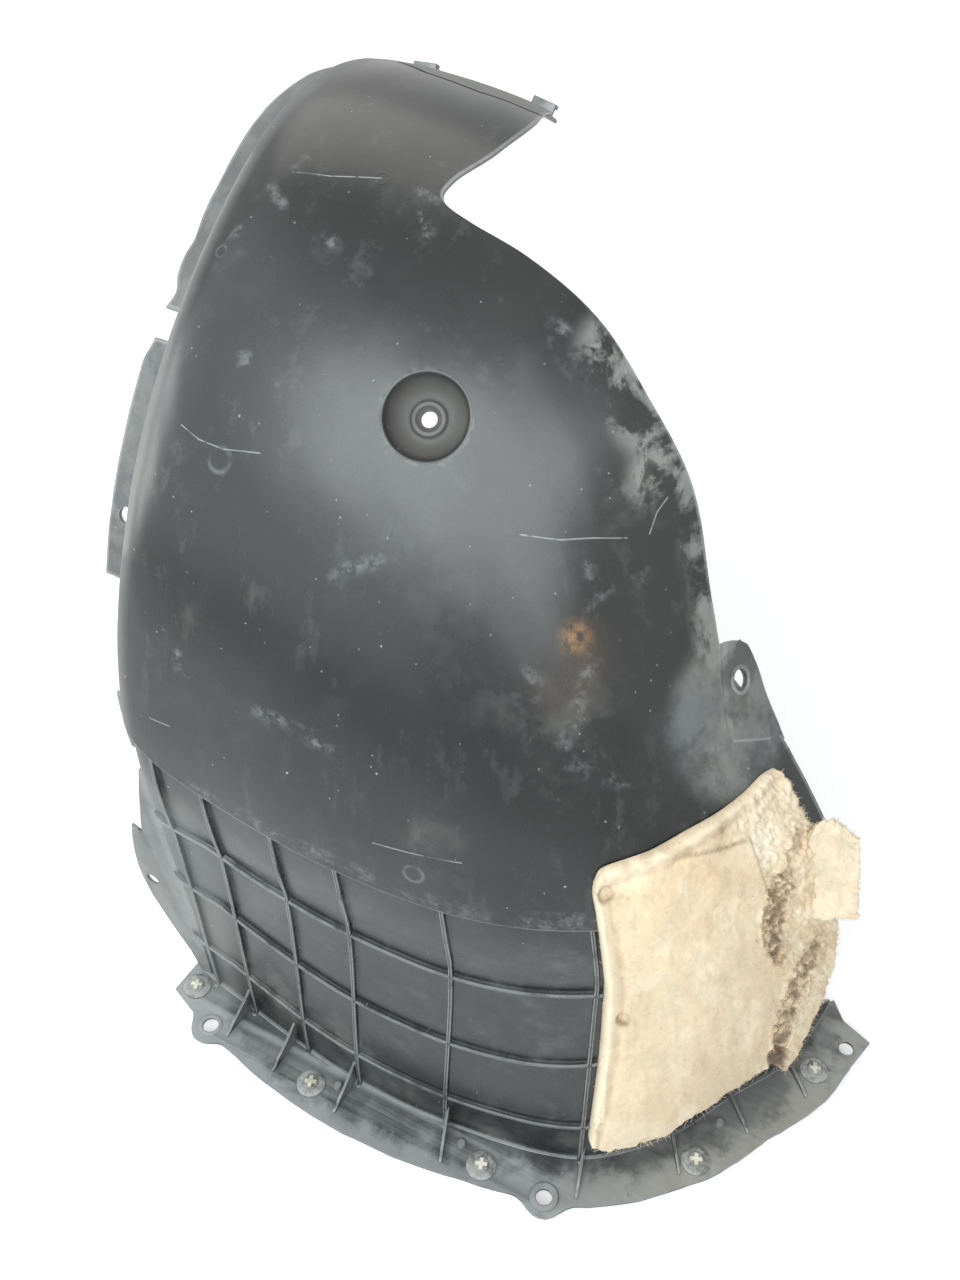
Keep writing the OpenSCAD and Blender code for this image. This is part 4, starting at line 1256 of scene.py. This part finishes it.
# paths on the shell, as lists of (station, position)
SCRATCHES = [[(44.08, 2.67), (43.46, 2.95), (43.37, 3.2), (43.98, 3.48)],
             [(44.6, 5.42), (45.27, 5.74), (46.29, 5.99), (47.45, 6.31)],
             [(14.65, 4.43), (14.97, 4.68), (15.54, 5.05)], [(64.89, 2.84), (65.37, 3.22), (66.49, 3.58)],
             [(52.22, 6.56), (50.62, 6.51), (48.57, 6.51)], [(17.62, 2.56), (17.82, 2.86)]]
SCUFFS = [[(23.52, 3.65), (23.29, 3.96), (22.78, 4.17), (21.47, 4.28)],
          [(44.92, 6.56), (43.24, 6.4), (42.92, 6.25), (40.02, 6.07)],
          [(36.46, 6.18), (32.95, 6.05), (31.2, 6.02), (28.41, 5.9)], [(27.33, 5.95), (25.78, 6.41)],
          [(34.97, 5.6), (32.39, 5.72)], [(36.98, 4.14), (39.43, 4.46)], [(25.6, 2.99), (24.2, 3.06)],
          [(29.9, 7.44), (24.3, 7.42)], [(63.5, 2.64), (62.1, 2.92)], [(50.4, 3.14), (49.8, 3.2)],
          [(49.4, 3.51), (49.1, 3.49)], [(60.4, 3.4), (60.4, 3.49)], [(58.0, 2.4), (59.4, 2.46)],
          [(65.1, 2.86), (66.2, 2.9)], [(73.0, 3.12), (74.2, 3.17)], [(66.5, 3.86), (66.1, 4.0)],
          [(64.7, 3.96), (63.4, 4.04)], [(51.7, 5.88), (50.9, 6.32)], [(44.4, 5.99), (41.6, 6.18)],
          [(31.7, 5.56), (28.5, 5.64)]]
CRACKS = [[(39.43, 4.46), (41.58, 4.5), (43.63, 4.51)], [(42.4, 4.87), (44.51, 5.42)],
          [(43.0, 4.74), (43.15, 4.75)], [(44.8, 4.16), (44.9, 4.17)]]
# a painted crease near the top end: a dark line of painted shade, and beyond it a lighter band of painted light
END_SHADE_LINE = [[(84.84, 2.63), (82.88, 3.14), (82.1, 3.72), (82.95, 4.17), (83.33, 4.26)]]
END_LIT_BAND = [[(88.0, 2.5), (86.6, 3.14), (86.0, 3.72), (86.8, 4.25)]]
# a light stroke along the crest's rounded edge: partly dust, partly a painted highlight of the rim
CREST_DUST_AND_HIGHLIGHT = [[(65.77, 1.43), (61.24, 1.42), (57.27, 1.38), (53.57, 1.40), (49.03, 1.60), (45.64, 1.62),
               (38.66, 1.66), (33.0, 1.66)]]
# a light line along the step's lip: partly dust, partly a painted highlight
STEP_DUST_AND_HIGHLIGHT = [[(10.9, 3.0), (10.6, 3.71), (10.4, 4.20), (9.8, 4.85), (9.9, 5.39), (10.9, 5.92)]]
EDGE_DUST = [[(60.9, 5.6), (57.8, 5.95)], [(56.9, 6.1), (56.3, 6.25)], [(53.6, 6.4), (53.9, 6.6)],
             [(55.8, 6.6), (53.4, 6.95), (49.7, 7.2)], [(47.5, 7.4), (41.7, 7.58)]]
DUST_SPOTS = [[(60.0, 5.18), (59.2, 5.31)], [(58.65, 5.42), (58.6, 5.43)], [(57.6, 6.0), (55.6, 6.3)]]
# faint round marks: station, position, radius in metres
ROUND_MARKS = [(66.49, 3.58, 0.0045), (12.62, 4.69, 0.007), (42.55, 3.19, 0.008), (57.5, 2.3, 0.004)]


def mark_paths(ob, name, paths, width):
    """Stores how near each vertex is to the paths: 1 on them, 0 at the width and beyond, in metres."""
    co = vertex_values(ob, "co")
    away = np.full(len(co), 1.0)
    for path in paths:
        pts = np.array([at(*p) for p in path])
        for a, b in zip(pts, pts[1:]):
            k = np.clip((co - a) @ (b - a) / ((b - a) @ (b - a)), 0, 1)
            away = np.minimum(away, np.linalg.norm(co - a - k[:, None] * (b - a), axis=1))
    store(ob, name, ease((width - away) / (0.65 * width)))


for _name, _paths, _width in (("edge_dust", EDGE_DUST, 0.023), ("dust_spots", DUST_SPOTS, 0.010),
                              ("scuffs", SCUFFS, 0.0042), ("end_lit_band", END_LIT_BAND, 0.030),
                              ("crest_dust_and_highlight", CREST_DUST_AND_HIGHLIGHT, 0.0075), ("step_dust_and_highlight", STEP_DUST_AND_HIGHLIGHT, 0.0075)):
    mark_paths(shell, _name, _paths, _width)
shell.data.materials.append(shell_plastic())


def clip_plastic(name, colour, dusty, rough):
    n = Nodes(name)
    k = n.mul(n.step(n.nz, 0.3, 0.8), n.step(n.noise(120, 6, 0.7), 0.34, 0.6))
    return n.done(n.blend(k, colour, dusty), rough)


def felt():
    n = Nodes("felt")
    tint = n.t.nodes.new("ShaderNodeVertexColor")
    tint.layer_name = "tint"
    fine = n.noise(420, 6, 0.7)
    mid = n.noise(70, 6, 0.65, warp=0.5)
    wisps = n.noise(300, 5, 0.7, (1, 0.25, 0.6), 1.5)
    colour = n.blend(n.mul(n.step(mid, 0.42, 0.68), 0.22), tint.outputs[0], (0.64, 0.52, 0.37))
    colour = n.blend(n.mul(n.step(wisps, 0.52, 0.72), 0.35), colour, (0.86, 0.79, 0.64))
    colour = n.blend(n.mul(n.step(fine, 0.48, 0.30), 0.28), colour, (0.42, 0.32, 0.21))
    height = n.add(n.mul(fine, 0.5), n.mul(wisps, 0.8), n.mul(mid, 0.5))
    return n.done(colour, 0.95, n.relief(height, 0.55, 0.0010), Specular_IOR_Level=0.2, Sheen_Weight=0.15)


felt_mat = felt()
for o in (quilt, patch, fuzz):
    o.data.materials.append(felt_mat)
for name, m in (("clip_bodies", clip_plastic("clip_plastic", (0.12, 0.125, 0.12), (0.36, 0.36, 0.34), 0.7)),
                ("clip_pins", clip_plastic("pin_plastic", (0.45, 0.42, 0.33), (0.76, 0.72, 0.62), 0.6))):
    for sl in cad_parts[name].material_slots:
        sl.material = m

# stage, light and camera
FLOOR_HALF, FLOOR_Z = 6, -0.0118                     # just below the clips' shanks
floor_me = bpy.data.meshes.new("floor")
floor_me.from_pydata([(x * FLOOR_HALF, y * FLOOR_HALF, FLOOR_Z)
                      for x, y in ((-1, -1), (1, -1), (1, 1), (-1, 1))], [], [(0, 1, 2, 3)])
floor = add_object("floor", floor_me)


def backdrop_ray(tree):
    """1 for rays from the camera, off a gloss or through a pane; 0 for light on the object."""
    lp = tree.nodes.new("ShaderNodeLightPath")
    out = lp.outputs["Is Camera Ray"]
    for name in ("Is Glossy Ray", "Is Transmission Ray"):
        m = tree.nodes.new("ShaderNodeMath")
        m.operation = "MAXIMUM"
        tree.links.new(out, m.inputs[0])
        tree.links.new(lp.outputs[name], m.inputs[1])
        out = m.outputs[0]
    return out


def scaled_ray(tree, k, base, socket):
    """Strength base for light on the object, and k more for what the camera sees."""
    m = tree.nodes.new("ShaderNodeMath")
    m.operation = "MULTIPLY_ADD"
    tree.links.new(backdrop_ray(tree), m.inputs[0])
    m.inputs[1].default_value, m.inputs[2].default_value = k, base
    tree.links.new(m.outputs[0], socket)


fn = Nodes("floor_paint")
far = fn.step(fn.math("POWER", fn.add(fn.mul(fn.x, fn.x), fn.mul(fn.y, fn.y)), 0.5), 0.6, 2.0)
fn.link(fn.mul(backdrop_ray(fn.t), fn.add(0.42, fn.mul(far, 0.36))), fn.bsdf.inputs["Emission Strength"])
fn.bsdf.inputs["Emission Color"].default_value = (1, 1, 1, 1)
floor.data.materials.append(fn.done((0.82, 0.82, 0.82), 1.0, Specular_IOR_Level=0.0))

world = bpy.data.worlds.new("studio")
bpy.context.scene.world = world
world.use_nodes = True
bg = world.node_tree.nodes["Background"]
bg.inputs["Color"].default_value = (1, 1, 1, 1)
scaled_ray(world.node_tree, 0.82, 0.18, bg.inputs["Strength"])


def area(name, place, target, size, power, colour=(1, 1, 1), along=(1, 0, 0)):
    """A rectangular lamp that faces its target, with its first side along a direction."""
    li = bpy.data.lights.new(name, "AREA")
    li.shape = "RECTANGLE"
    li.energy, li.color = power, colour
    li.size, li.size_y = size
    z = (Vector(place) - Vector(target)).normalized()
    y = z.cross(Vector(along)).normalized()
    add_object(name, li).matrix_world = placed(y.cross(z), y, z, place)


PANEL = (-0.25, 0.38, 0.42)                          # what the two main lamps face, to lay the sheen
area("key", (0.26, -1.07, 1.73), PANEL, (2.6, 0.92), 44, (0.91, 0.965, 1.0), (0.93, 0.30, -0.24))
area("wide", (-1.13, -1.14, 1.48), PANEL, (3.2, 2.2), 27, (0.88, 0.97, 1.0), (0.886, -0.455, 0.09))
area("top", (-0.9, 1.1, 1.9), (-0.15, 0.2, 0.4), (1.6, 1.2), 9, (1.0, 0.97, 0.91))
area("side", (1.9, 0.1, 1.1), (0, 0.1, 0.2), (1.2, 1.2), 1.5)
area("rim", (-2.4, -0.75, 0.75), (-0.25, -0.1, 0.4), (0.5, 1.3), 12)

cam_data = bpy.data.cameras.new("camera")
cam = add_object("camera", cam_data)
cam.location = (EYE - ORIGIN) / 1000
cam.rotation_euler = (PITCH, 0, TURN)
cam_data.sensor_fit, cam_data.sensor_height = "VERTICAL", 36
cam_data.lens = PIXELS * 36 / 1.28                   # the photo is 1280 pixels high
bpy.context.scene.camera = cam
bpy.context.scene.view_settings.view_transform = "Standard"
